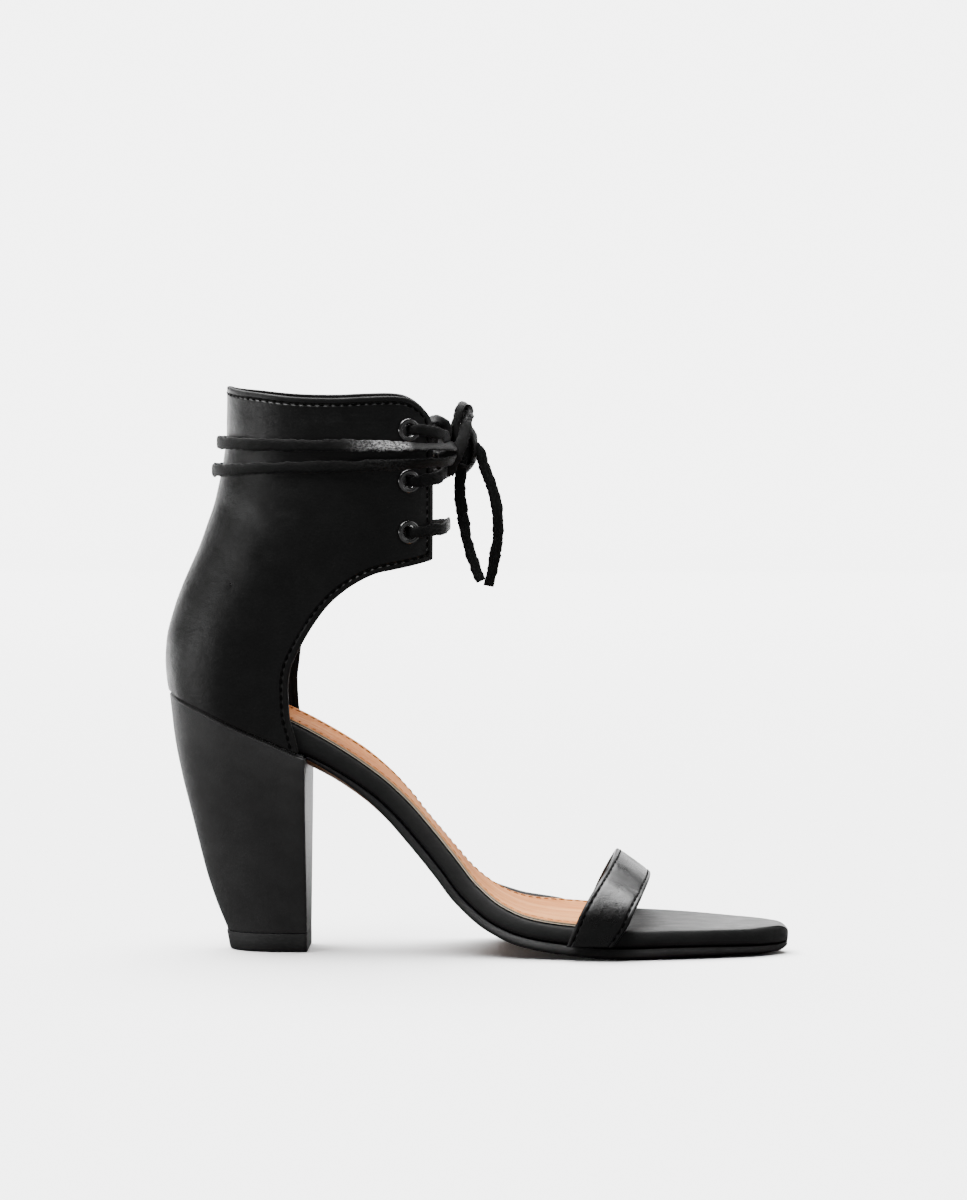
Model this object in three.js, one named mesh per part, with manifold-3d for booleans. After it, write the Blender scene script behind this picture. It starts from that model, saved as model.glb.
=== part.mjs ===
// A left lace up heeled sandal in black leather: a closed counter and ankle cuff cut in one piece,
// a narrow toe strap, a leather wrapped footbed with a tan insole sock, a thin outsole, a wrapped
// block heel with its top lift, and a flat leather lace through three pairs of eyelets.
// Millimetres. +X points to the toe, +Z up, and -Y is the inner (medial) side of the foot.
import * as THREE from 'three';
import { mergeVertices } from 'three/addons/utils/BufferGeometryUtils.js';
import Module from 'manifold-3d';

const wasm = await Module();
wasm.setup();

// The last: overall sizes of the shoe.
const shoeLength = 223.3;
const heelHeight = 91;
const rimHeight = 200.6;
const ballWidth = 80;
const seatWidth = 48.2;
const ankleWidth = 61;
const seatRound = 27;
const toeRound = 15;

// Sole pieces.
const randThickness = 6.5;
const outsoleThickness = 4.3;
const sockThickness = 1.2;
const sockInset = 1.1;
const sockEnd = 158;
const footbedShoulder = 1;
const footbedUnderRound = 1.6;
const outsoleInset = 1.2;
const outsoleOverlap = 8;
const outsoleBevel = 0.4;
const treadInset = 1.6;
const meetGap = 0.3;

// Heel block and top lift.
const breastPlace = 51.4;
const liftWidth = 29;
const liftDepth = 28.2;
const liftHeight = 6.3;
const liftStep = 0.4;
const liftBevel = 0.6;
const liftLean = 1;

// Counter and cuff.
const upperWall = 1.9;
const throatPlace = 97.3;
const closedFront = 107;
const throatTurn = 3.6;
const flapDepth = 60.4;
const counterFront = 45.6;
const rimLift = 8;

// Eyelets: flange, barrel and their places down the flap.
const eyeletPlace = 88.4;
const eyeletSpacing = 18;
const eyeletDrop = 14.2;
const flangeRadius = 4.2;
const barrelRadius = 3;
const boreRadius = 2.35;
const flangeThickness = 0.8;
const flareReach = 0.7;
const flareThickness = 0.6;
const eyeletStandoff = 0.15;
const eyeletCount = 3;

// Toe strap.
const strapThickness = 2;
const strapWidth = 15.3;
const strapPlace = 145.7;
const strapRear = { start: strapPlace, wall: 2.1, lean: 13.4, crest: 34.8, outerShift: 4.6 };
const strapAhead = { start: strapPlace + strapWidth, wall: 5.5, lean: 7, crest: 25.9, outerShift: 1.6 };

// Lace: flat leather.
const laceWidth = 4.2;
const laceThickness = 1.7;
const laceFront = 101.6;
const bridgeRound = 3;
const barRise = 1.6;
const knotSize = { deep: 3.6, wide: 5, tall: 7.5 };
const innerEndPlace = -6;
const outerEndPlace = -1;

const standHeight = randThickness + outsoleThickness;
const flapHeight = rimHeight - flapDepth;
const clamp = THREE.MathUtils.clamp;
const lerp = THREE.MathUtils.lerp;
const smoothstep = THREE.MathUtils.smoothstep;

// Materials, with the colours of the photo.
const leather = (color, roughness) => new THREE.MeshStandardMaterial({ color, roughness, metalness: 0 });
const blackLeather = leather(0x161617, 0.42);
const heelLeather = leather(0x1b1b1d, 0.5);
const tanLeather = leather(0xd9b092, 0.6);
const soleLeather = leather(0x141414, 0.55);
const laceLeather = leather(0x121212, 0.65);
const liftRubber = leather(0x0e0e0e, 0.7);
const nickel = new THREE.MeshStandardMaterial({ color: 0x4a4a4c, roughness: 0.25, metalness: 1 });

// One row for each section of the last, heel to toe. along: share of the shoe's length. rise: height of
// the footbed's top edge over the tread, as a share of the heel height. middle, half: middle line and
// half width, as shares of the ball width. rand, edge: thickness of the wrapped footbed and of the
// outsole's edge, as shares of theirs. belly: how far the outsole's underside is rounded, and cup: how
// far the footbed's middle lies under its edges, as shares of the outsole's thickness.
const sections = [
  { along: 0.0155, rise: 0.999, middle: 0, half: 0.303, rand: 1.426, edge: 0.167, belly: 0.67, cup: 0.377 },
  { along: 0.0696, rise: 0.943, middle: 0, half: 0.303, rand: 1.438, edge: 0.167, belly: 0.67, cup: 0.377 },
  { along: 0.1342, rise: 0.87, middle: 0, half: 0.302, rand: 1.438, edge: 0.167, belly: 0.67, cup: 0.352 },
  { along: 0.2098, rise: 0.788, middle: 0.001, half: 0.291, rand: 1.415, edge: 0.167, belly: 0.67, cup: 0.318 },
  { along: 0.253, rise: 0.732, middle: 0.003, half: 0.285, rand: 1.37, edge: 0.251, belly: 0.553, cup: 0.285 },
  { along: 0.3037, rise: 0.656, middle: 0.005, half: 0.281, rand: 1.292, edge: 0.419, belly: 0.352, cup: 0.251 },
  { along: 0.3549, rise: 0.565, middle: 0.008, half: 0.283, rand: 1.157, edge: 0.653, belly: 0.167, cup: 0.234 },
  { along: 0.3927, rise: 0.479, middle: 0.012, half: 0.29, rand: 1.067, edge: 0.753, belly: 0.084, cup: 0.226 },
  { along: 0.4322, rise: 0.369, middle: 0.016, half: 0.31, rand: 1, edge: 0.795, belly: 0.05, cup: 0.226 },
  { along: 0.4712, rise: 0.252, middle: 0.02, half: 0.341, rand: 0.988, edge: 0.795, belly: 0.033, cup: 0.234 },
  { along: 0.4998, rise: 0.164, middle: 0.023, half: 0.367, rand: 1.011, edge: 0.795, belly: 0.025, cup: 0.234 },
  { along: 0.5432, rise: 0.078, middle: 0.031, half: 0.419, rand: 1.02, edge: 0.85, belly: 0.017, cup: 0.218 },
  { along: 0.5844, rise: 0.036, middle: 0.035, half: 0.46, rand: 1, edge: 0.92, belly: 0, cup: 0.201 },
  { along: 0.6256, rise: 0.018, middle: 0.035, half: 0.484, rand: 0.99, edge: 0.97, belly: 0, cup: 0.184 },
  { along: 0.6632, rise: 0.009, middle: 0.031, half: 0.494, rand: 1, edge: 1, belly: 0, cup: 0.167 },
  { along: 0.7165, rise: 0, middle: 0.015, half: 0.491, rand: 1, edge: 1, belly: 0, cup: 0.134 },
  { along: 0.7658, rise: -0.002, middle: -0.003, half: 0.452, rand: 1, edge: 0.99, belly: 0, cup: 0.084 },
  { along: 0.8061, rise: -0.001, middle: -0.022, half: 0.409, rand: 0.96, edge: 0.92, belly: 0, cup: 0.05 },
  { along: 0.8599, rise: -0.0025, middle: -0.042, half: 0.347, rand: 0.88, edge: 0.82, belly: 0, cup: 0.017 },
  { along: 0.9091, rise: -0.0047, middle: -0.061, half: 0.276, rand: 0.81, edge: 0.72, belly: 0, cup: 0 },
  { along: 0.967, rise: -0.0065, middle: -0.084, half: 0.19, rand: 0.73, edge: 0.64, belly: 0, cup: 0 },
  { along: 1, rise: -0.008, middle: -0.1, half: 0.13, rand: 0.68, edge: 0.6, belly: 0, cup: 0 },
];

// One row for each level of the counter and cuff, seam to rim. up: share of the height from the heel
// seam to the rim. back: place of the back line, as a share of the shoe's length. tilt: share of the
// seat's slope. half: half width, as a share of the ankle width. round: length of the rounded back, as
// a share of the seat's. front: place of the closed front, as a share of the ankle's.
const levels = [
  { up: -0.1, back: 0.012, tilt: 1.0, half: 0.43, round: 1.07, front: 1.16 },
  { up: 0.0, back: 0.0063, tilt: 1.0, half: 0.437, round: 1.07, front: 1.14 },
  { up: 0.06, back: 0.0018, tilt: 0.97, half: 0.44, round: 1.08, front: 1.12 },
  { up: 0.116, back: 0.0, tilt: 0.93, half: 0.443, round: 1.1, front: 1.1 },
  { up: 0.18, back: 0.0018, tilt: 0.86, half: 0.45, round: 1.12, front: 1.07 },
  { up: 0.289, back: 0.015, tilt: 0.7, half: 0.467, round: 1.2, front: 1.03 },
  { up: 0.361, back: 0.028, tilt: 0.58, half: 0.477, round: 1.25, front: 1.01 },
  { up: 0.424, back: 0.0415, tilt: 0.48, half: 0.485, round: 1.28, front: 1 },
  { up: 0.484, back: 0.0545, tilt: 0.38, half: 0.492, round: 1.3, front: 1 },
  { up: 0.557, back: 0.0675, tilt: 0.27, half: 0.498, round: 1.32, front: 1 },
  { up: 0.637, back: 0.0806, tilt: 0.17, half: 0.5, round: 1.34, front: 1 },
  { up: 0.781, back: 0.095, tilt: 0.05, half: 0.5, round: 1.36, front: 1 },
  { up: 0.863, back: 0.0995, tilt: 0.0, half: 0.499, round: 1.36, front: 1 },
  { up: 1.0, back: 0.1, tilt: -0.02, half: 0.498, round: 1.36, front: 1 },
];

// The edge of the cut-out, from the flap down to the front of the counter. along runs from the
// counter's front to the throat, up from the heel's height to the foot of the flap, both as shares.
// Under the heel's height up is a share of the way down to the seam.
const cutEdge = [
  { along: 1.0, up: 1.0 },
  { along: 0.93, up: 0.98 },
  { along: 0.827, up: 0.955 },
  { along: 0.715, up: 0.932 },
  { along: 0.612, up: 0.91 },
  { along: 0.5, up: 0.86 },
  { along: 0.388, up: 0.787 },
  { along: 0.276, up: 0.685 },
  { along: 0.165, up: 0.533 },
  { along: 0.08, up: 0.38 },
  { along: 0.02, up: 0.24 },
  { along: 0.0, up: 0.13 },
  { along: 0.0, up: 0.0 },
  { along: 0.01, up: -0.351 },
  { along: 0.035, up: -0.595 },
  { along: 0.07, up: -0.973 },
];

// The rim of the cuff, back to throat. along runs from the back line to the throat, drop is the way
// down from the rim's height to the edge, as a share of the flap's height under the rim.
const rimEdge = [
  { along: 0.0, drop: -0.045 },
  { along: 0.06, drop: -0.008 },
  { along: 0.2, drop: 0.018 },
  { along: 0.36, drop: 0.039 },
  { along: 0.55, drop: 0.044 },
  { along: 0.7, drop: 0.036 },
  { along: 0.82, drop: 0.034 },
  { along: 0.88, drop: 0.046 },
  { along: 0.94, drop: 0.09 },
  { along: 0.985, drop: 0.155 },
  { along: 1.0, drop: 0.235 },
];

// One row for each level of the heel block, seat to lift. up: share of the heel height. back: place of
// the back line, as a share of the shoe's length. tilt: share of the seat's slope. half: half width,
// as a share of the way from the lift's half width to the seat's.
const heelLevels = [
  { up: 1.06, back: 0.004, tilt: 1.0, half: 1.0 },
  { up: 0.99, back: 0.0075, tilt: 0.96, half: 1.0 },
  { up: 0.84, back: 0.0145, tilt: 0.74, half: 0.955 },
  { up: 0.68, back: 0.027, tilt: 0.5, half: 0.83 },
  { up: 0.55, back: 0.04, tilt: 0.34, half: 0.68 },
  { up: 0.42, back: 0.053, tilt: 0.2, half: 0.5 },
  { up: 0.3, back: 0.0655, tilt: 0.1, half: 0.33 },
  { up: 0.2, back: 0.0788, tilt: 0.03, half: 0.18 },
];

// Value of one column of a table at a place along its key, by a cubic that never overshoots.
function column(table, key, name, at) {
  const last = table.length - 1;
  const rising = table[last][key] > table[0][key];
  const rows = rising ? table : [...table].reverse();
  const x = clamp(at, rows[0][key], rows[last][key]);
  const slope = (i) => (rows[i + 1][name] - rows[i][name]) / (rows[i + 1][key] - rows[i][key]);
  const tangent = (i) => {
    if (i === 0) return slope(0);
    if (i === last) return slope(last - 1);
    const a = slope(i - 1);
    const b = slope(i);
    return a * b <= 0 ? 0 : (2 * a * b) / (a + b);
  };
  let i = 0;
  while (i < last - 1 && x > rows[i + 1][key]) i += 1;
  const width = rows[i + 1][key] - rows[i][key];
  const t = (x - rows[i][key]) / width;
  const h = [2 * t ** 3 - 3 * t ** 2 + 1, t ** 3 - 2 * t ** 2 + t, 3 * t ** 2 - 2 * t ** 3, t ** 3 - t ** 2];
  return h[0] * rows[i][name] + h[1] * width * tangent(i) + h[2] * rows[i + 1][name] + h[3] * width * tangent(i + 1);
}

// How full a rounded end is at a distance in from its tip: 0 at the tip, 1 past the rounding.
function roundEnd(distance, length, power) {
  const left = 1 - clamp(distance / length, 0, 1);
  return (1 - left ** power) ** (1 / power);
}

// Closed body through rings of equal count, with a fan over each end.
function loft(rings) {
  const count = rings[0].length;
  const positions = [];
  const index = [];
  rings.forEach((ring) => ring.forEach((p) => positions.push(p.x, p.y, p.z)));
  const middles = [rings[0], rings[rings.length - 1]].map((ring) => {
    const middle = ring.reduce((sum, p) => sum.add(p), new THREE.Vector3()).divideScalar(count);
    positions.push(middle.x, middle.y, middle.z);
    return positions.length / 3 - 1;
  });
  const top = (rings.length - 1) * count;
  for (let j = 0; j < count; j += 1) {
    const k = (j + 1) % count;
    index.push(middles[0], k, j, middles[1], top + j, top + k);
    for (let i = 0; i < rings.length - 1; i += 1) {
      const a = i * count;
      const b = a + count;
      index.push(a + j, a + k, b + k, a + j, b + k, b + j);
    }
  }
  const body = new THREE.BufferGeometry();
  body.setAttribute('position', new THREE.Float32BufferAttribute(positions, 3));
  body.setIndex(index);
  return volume(body) < 0 ? turnedOut(body) : body;
}

function volume(body) {
  const p = body.getAttribute('position');
  const corners = [new THREE.Vector3(), new THREE.Vector3(), new THREE.Vector3()];
  let sum = 0;
  for (let i = 0; i < body.index.count; i += 3) {
    corners.forEach((c, k) => c.fromBufferAttribute(p, body.index.getX(i + k)));
    sum += corners[0].dot(corners[1].clone().cross(corners[2])) / 6;
  }
  return sum;
}

function turnedOut(body) {
  const index = Array.from(body.index.array);
  for (let i = 0; i < index.length; i += 3) [index[i], index[i + 1]] = [index[i + 1], index[i]];
  body.setIndex(index);
  return body;
}

// Between a three.js geometry and a solid for joins and cuts.
function solid(geometry) {
  const bare = geometry.clone();
  bare.deleteAttribute('normal');
  bare.deleteAttribute('uv');
  const merged = mergeVertices(bare, 1e-4);
  return new wasm.Manifold(new wasm.Mesh({
    numProp: 3,
    vertProperties: new Float32Array(merged.getAttribute('position').array),
    triVerts: new Uint32Array(merged.index.array),
  }));
}

function geometryOf(body) {
  const mesh = body.getMesh();
  const geometry = new THREE.BufferGeometry();
  geometry.setAttribute('position', new THREE.BufferAttribute(new Float32Array(mesh.vertProperties), 3));
  geometry.setIndex(new THREE.BufferAttribute(new Uint32Array(mesh.triVerts), 1));
  return geometry;
}

const turnAxis = 0.4;

// A side view outline, given as [x, z] pairs, run through the whole width of the shoe. It may be turned
// back on the outer side by an angle that depends on the height.
function sideProfile(outline, turnAt = () => 0) {
  const shape = new THREE.Shape(outline.map(([x, z]) => new THREE.Vector2(x, z)));
  const geometry = new THREE.ExtrudeGeometry(shape, { depth: 2 * ballWidth, bevelEnabled: false });
  geometry.rotateX(Math.PI / 2);
  geometry.translate(0, ballWidth, 0);
  const p = geometry.getAttribute('position');
  for (let i = 0; i < p.count; i += 1) {
    const across = p.getY(i) + ankleWidth * turnAxis;
    p.setX(i, p.getX(i) - across * Math.tan(THREE.MathUtils.degToRad(turnAt(p.getZ(i)))));
  }
  return solid(geometry);
}

// The footbed's own section at a place along the shoe.
function sectionAt(x) {
  const share = x / shoeLength;
  const value = (name) => column(sections, 'along', name, share);
  const step = 0.004;
  const run = shoeLength * 2 * step;
  const fall = heelHeight * (column(sections, 'along', 'rise', share - step) - column(sections, 'along', 'rise', share + step));
  const start = sections[0].along * shoeLength;
  const heelRound = roundEnd(x - start, seatRound, 2.15);
  const tipRound = roundEnd(shoeLength - x, toeRound, 2);
  const slope = Math.atan2(fall, run);
  // Across the seat the sides stand upright. From the waist on they stand square to the sole.
  const square = smoothstep(share, 0.16, 0.31);
  const lean = slope * square;
  return {
    x,
    z: standHeight + heelHeight * value('rise'),
    middle: ballWidth * value('middle'),
    half: ballWidth * value('half') * (seatWidth / ballWidth / (2 * sections[0].half)) ** (1 - square) * heelRound * tipRound,
    rand: randThickness * value('rand') / Math.cos(slope - lean),
    edge: outsoleThickness * value('edge'),
    belly: outsoleThickness * value('belly'),
    cup: outsoleThickness * value('cup') * Math.min(heelRound, tipRound),
    upX: Math.sin(lean),
    upZ: Math.cos(lean),
  };
}

// A point of a section: across from the shoe's middle plane, up from the footbed's top edge.
const onSection = (s, y, up) => new THREE.Vector3(s.x + s.upX * up, y, s.z + s.upZ * up);

// Places along the shoe, closer together towards both ends.
function stations(from, to, count) {
  return Array.from({ length: count + 1 }, (_, i) => lerp(from, to, (1 - Math.cos((Math.PI * i) / count)) / 2));
}

const cupDepth = (s, share) => s.cup * (1 - share * share);

// Ring of the wrapped footbed: cupped top, round shouldered side, flat underneath.
function footbedRing(s) {
  const side = (sign) => [
    [s.half - footbedUnderRound, -s.rand],
    [s.half - footbedUnderRound * 0.22, -s.rand + footbedUnderRound * 0.55],
    [s.half, -s.rand * 0.5],
    [s.half - footbedShoulder * 0.3, -footbedShoulder],
    [s.half - footbedShoulder, -footbedShoulder * 0.25],
  ].map(([y, up]) => onSection(s, s.middle + sign * Math.max(y, s.half * 0.6), up));
  const across = [0.82, 0.5, 0, -0.5, -0.82];
  const top = across.map((share) => onSection(s, s.middle + share * s.half, -cupDepth(s, share)));
  return [...side(1), ...top, ...side(-1).reverse()];
}

// Ring of the outsole: it lies under the footbed, with a rounded belly at the waist and a bevelled
// edge, and it is flat where it treads on the floor.
function outsoleRing(s) {
  const top = -s.rand - meetGap;
  const edgeHalf = Math.max(s.half - outsoleInset, s.half * 0.8);
  const treadHalf = Math.max(s.half - outsoleInset - treadInset, s.half * 0.7);
  const side = (sign) => [
    [edgeHalf - outsoleBevel, top],
    [edgeHalf, top - 0.35 * s.edge],
    [edgeHalf - outsoleBevel * 0.6, top - 0.7 * s.edge],
    [treadHalf, top - s.edge - s.belly * 0.15],
  ].map(([y, up]) => onSection(s, s.middle + sign * y, up));
  const belly = [0.62, 0.25, -0.25, -0.62].map((share) => {
    return onSection(s, s.middle + share * s.half, top - s.edge - s.belly * (1 - share * share));
  });
  const ring = [...side(1), ...belly, ...side(-1).reverse()];
  ring.forEach((p) => { p.z = Math.max(p.z, 0); });
  return ring;
}

// Ring of the insole sock, a thin sheet that follows the footbed's cup.
function sockRing(s) {
  const half = Math.max(s.half - sockInset, s.half * 0.7);
  const shares = [-1, -0.82, -0.5, 0, 0.5, 0.82, 1];
  const sheet = (lift) => shares.map((share) => {
    const reach = share * half;
    return onSection(s, s.middle + reach, lift - cupDepth(s, reach / s.half));
  });
  return [...sheet(meetGap), ...sheet(meetGap + sockThickness).reverse()];
}

const footbedStart = sections[0].along * shoeLength + meetGap;
const footbedTip = shoeLength - meetGap;
const footbedPlaces = stations(footbedStart, footbedTip, 42);
const footbed = solid(loft(footbedPlaces.map((x) => footbedRing(sectionAt(x)))));

const outsoleTip = shoeLength - outsoleInset;
const outsolePlaces = footbedPlaces.filter((x) => x > breastPlace - outsoleOverlap && x < outsoleTip);
const bigSide = 4 * shoeLength;
const beforeBreast = breastPlace + meetGap;
const aheadOfBreast = sideProfile([
  [beforeBreast, -bigSide],
  [bigSide, -bigSide],
  [bigSide, bigSide],
  [beforeBreast, bigSide],
]);
const outsoleBody = loft([...outsolePlaces, outsoleTip].map((x) => outsoleRing(sectionAt(x))));
const outsole = solid(outsoleBody).intersect(aheadOfBreast);

const sockStart = footbedStart + sockInset;
const sockPlaces = footbedPlaces.filter((x) => x > sockStart && x < sockEnd);
const sock = solid(loft([sockStart, ...sockPlaces, sockEnd].map((x) => sockRing(sectionAt(x)))));

// The seam under the counter is the footbed's lower edge, and the heel's seat follows it.
function seamAt(x) {
  const s = sectionAt(Math.max(x, footbedStart));
  return onSection(s, 0, -s.rand);
}
const seamPlaces = [-2, ...stations(footbedStart, breastPlace + outsoleOverlap, 20)];
const seamLine = seamPlaces.map((x) => {
  const p = seamAt(x);
  return x < footbedStart ? [x, p.z + (footbedStart - x) * Math.tan(Math.PI / 8)] : [p.x, p.z];
});
const seatSlope = Math.atan2(seamAt(footbedStart).z - seamAt(breastPlace).z, seamAt(breastPlace).x - footbedStart);

// Ring of a D or an oval in a plane that tilts from the back line down to the front.
function tiltedRing(back, height, tilt, outline) {
  return outline.map(([u, y]) => {
    return new THREE.Vector3(back + u * Math.cos(tilt), y, height - u * Math.sin(tilt));
  });
}

const cuffBack = shoeLength * levels[levels.length - 1].back;
const ankleMiddle = (cuffBack + closedFront) / 2;
const ringTurns = 40;
const ovalPower = 2.15;
const frontRound = 50;

// Ring of the counter and cuff at a share of its height, moved out from its outer face by an offset.
function cuffRing(up, offset, turns = ringTurns) {
  const value = (name) => column(levels, 'up', name, up);
  const tilt = seatSlope * value('tilt');
  const back = shoeLength * value('back');
  const depth = (closedFront * value('front') - back) / Math.cos(tilt);
  const half = ankleWidth * value('half') + offset;
  const round = seatRound * value('round') + offset;
  const outline = Array.from({ length: turns }, (_, i) => {
    const angle = (2 * Math.PI * i) / turns;
    const u = (depth * (1 - Math.cos(angle))) / 2;
    const wide = half * roundEnd(u, round, ovalPower) * roundEnd(depth - u, frontRound, ovalPower);
    const end = u * (1 + (2 * offset) / depth) - offset;
    return [end, Math.sin(angle) < 0 ? -wide : wide];
  });
  const height = lerp(heelHeight, rimHeight, up);
  return tiltedRing(back, height, tilt, outline);
}

const rimTop = 1 + rimLift / (rimHeight - heelHeight);
const cuffSteps = 17;
const cuffShares = Array.from({ length: cuffSteps + 1 }, (_, i) => lerp(levels[0].up, 1, i / cuffSteps));
const cuffRings = (offset) => {
  const rings = cuffShares.map((up) => cuffRing(up, offset));
  const cap = cuffRing(1, offset).map((p) => p.clone().setZ(p.z + (rimTop - 1) * (rimHeight - heelHeight)));
  return [...rings, cap];
};
const outerForm = solid(loft(cuffRings(0)));
const hollowRings = cuffRings(-upperWall);
const stretch = 6;
const below = hollowRings[0].map((p) => p.clone().setZ(p.z - stretch));
const above = hollowRings[hollowRings.length - 1].map((p) => p.clone().setZ(p.z + stretch));
const hollow = solid(loft([below, ...hollowRings, above]));

// Side outline of the upper: seam, counter front, cut-out, flap, rim and back.
const smoothLine = (points, count) => {
  const curve = new THREE.CatmullRomCurve3(points.map(([x, z]) => new THREE.Vector3(x, 0, z)), false, 'centripetal');
  return curve.getSpacedPoints(count).map((p) => [p.x, p.z]);
};
function seamHeight(x) {
  const next = seamLine.findIndex(([at]) => at > x);
  const [before, after] = [seamLine[next - 1], seamLine[next]];
  return lerp(before[1], after[1], (x - before[0]) / (after[0] - before[0]));
}
const counterFoot = lerp(counterFront, throatPlace, cutEdge[cutEdge.length - 1].along);
const footHeight = seamHeight(counterFoot);
const cutPoints = cutEdge.map((row) => [
  lerp(counterFront, throatPlace, row.along),
  row.up > 0 ? lerp(heelHeight, flapHeight, row.up) : lerp(heelHeight, footHeight, -row.up),
]);
const rimPoints = rimEdge.map((row) => [
  lerp(cuffBack - upperWall, throatPlace, row.along),
  rimHeight - flapDepth * row.drop,
]);
const upperOutline = [
  ...seamLine.filter(([x]) => x < counterFoot),
  ...smoothLine(cutPoints, 26).reverse(),
  ...smoothLine(rimPoints, 18).reverse(),
  [-rimLift, rimHeight + 1],
];

// The outer flap and the outer side of the cut-out lie a little further back than the inner ones.
const turnFrom = lerp(heelHeight, rimHeight, 0.08);
const turnTo = lerp(heelHeight, rimHeight, 0.22);
const upperTurn = (z) => throatTurn * smoothstep(z, turnFrom, turnTo);
let upper = outerForm.subtract(hollow).intersect(sideProfile(upperOutline, upperTurn));

// Place beside the cuff's outer face. around runs from -1, the closed front on the inner side, over
// 0 at the back line to 1. The height is a real one, so the level is found that passes through it.
function besideCuff(around, height, offset) {
  const turns = 720;
  const i = (Math.round((around * turns) / 2) + turns) % turns;
  let up = (height - heelHeight) / (rimHeight - heelHeight);
  let ring = cuffRing(up, offset, turns);
  for (let k = 0; k < 4; k += 1) {
    up += (height - ring[i].z) / (rimHeight - heelHeight);
    ring = cuffRing(up, offset, turns);
  }
  const along = new THREE.Vector3().subVectors(ring[(i + 1) % turns], ring[(i + turns - 1) % turns]);
  const normal = new THREE.Vector3(along.y, -along.x, 0).normalize();
  if (normal.dot(new THREE.Vector3(ring[i].x - ankleMiddle, ring[i].y, 0)) < 0) normal.negate();
  return { point: ring[i], normal };
}

// How far round the cuff a place along X lies.
function aroundAt(x, height) {
  let low = 0;
  let high = 1;
  for (let k = 0; k < 12; k += 1) {
    const half = (low + high) / 2;
    if (besideCuff(half, height, 0).point.x < x) low = half;
    else high = half;
  }
  return (low + high) / 2;
}
const eyeletHeights = Array.from({ length: eyeletCount }, (_, i) => rimHeight - eyeletDrop - i * eyeletSpacing);
const eyeletRounds = eyeletHeights.map((height) => aroundAt(eyeletPlace, height));

// An eyelet: a rolled flange outside, a barrel through the leather and a flat flare inside.
const flareTop = -upperWall - meetGap;
const eyeletProfile = [
  [boreRadius, flareTop - flareThickness],
  [barrelRadius + flareReach, flareTop - flareThickness],
  [barrelRadius + flareReach, flareTop],
  [barrelRadius, flareTop],
  [barrelRadius, 0],
  [flangeRadius, 0],
  [lerp(boreRadius, flangeRadius, 0.7), flangeThickness],
  [boreRadius, flangeThickness * 0.5],
  [boreRadius, flareTop - flareThickness],
].map(([r, z]) => new THREE.Vector2(r, z));
const eyeletSides = 12;
const holeSides = 14;

const eyelets = [];
[-1, 1].forEach((side) => {
  for (let i = 0; i < eyeletCount; i += 1) {
    const { point, normal } = besideCuff(side * eyeletRounds[i], eyeletHeights[i], 0);
    const turn = new THREE.Quaternion().setFromUnitVectors(new THREE.Vector3(0, 1, 0), normal);
    const seat = point.clone().addScaledVector(normal, eyeletStandoff);
    const place = (geometry) => geometry.applyQuaternion(turn).translate(seat.x, seat.y, seat.z);
    const hole = new THREE.CylinderGeometry(barrelRadius + meetGap, barrelRadius + meetGap, 6 * upperWall, holeSides);
    const flat = new THREE.CylinderGeometry(flangeRadius + meetGap, flangeRadius + meetGap, 2, holeSides);
    flat.translate(0, 1 - meetGap, 0);
    const flareHole = barrelRadius + flareReach + meetGap;
    const flare = new THREE.CylinderGeometry(flareHole, flareHole, 2, holeSides);
    flare.translate(0, -upperWall - 1, 0);
    [hole, flat, flare].forEach((cutter) => {
      upper = upper.subtract(solid(place(cutter)));
    });
    eyelets.push({
      name: `eyelet_${side < 0 ? 'inner' : 'outer'}_${i + 1}`,
      geometry: place(new THREE.LatheGeometry(eyeletProfile, eyeletSides)),
    });
  }
});

// Heel block: a D with a flat breast, tapering to the lift.
const seatHalf = ankleWidth * levels[1].half;
function heelRing(back, height, tilt, half) {
  const depth = (breastPlace - back) / Math.cos(tilt);
  const round = Math.min(depth * 0.72, seatRound * 1.07);
  const sides = 11;
  const near = Array.from({ length: sides }, (_, i) => {
    const u = (depth * (1 - Math.cos((Math.PI / 2) * (i / (sides - 1))))) ;
    return [u, half * roundEnd(u, round, ovalPower)];
  });
  const far = near.slice(1).map(([u, y]) => [u, -y]).reverse();
  return tiltedRing(back, height, tilt, [...near, ...far]);
}
const liftBack = breastPlace - liftDepth;
const heelRows = heelLevels.map((row) => heelRing(
  shoeLength * row.back,
  heelHeight * row.up,
  seatSlope * row.tilt,
  lerp(liftWidth / 2, seatHalf, row.half),
));
const heelFoot = heelRing(liftBack - liftLean, liftHeight + meetGap, 0, liftWidth / 2);
const underSeat = [
  ...seamLine.map(([x, z]) => [x, z - meetGap]),
  [breastPlace + 20, -1],
  [-20, -1],
  [-20, seamLine[0][1]],
];
const heelBlock = solid(loft([...heelRows, heelFoot])).intersect(sideProfile(underSeat));
const topLift = loft([
  heelRing(liftBack - liftLean - liftStep, liftHeight, 0, liftWidth / 2 + liftStep),
  heelRing(liftBack - liftStep, liftBevel, 0, liftWidth / 2 + liftStep),
  heelRing(liftBack, 0, 0, liftWidth / 2),
]);

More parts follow.
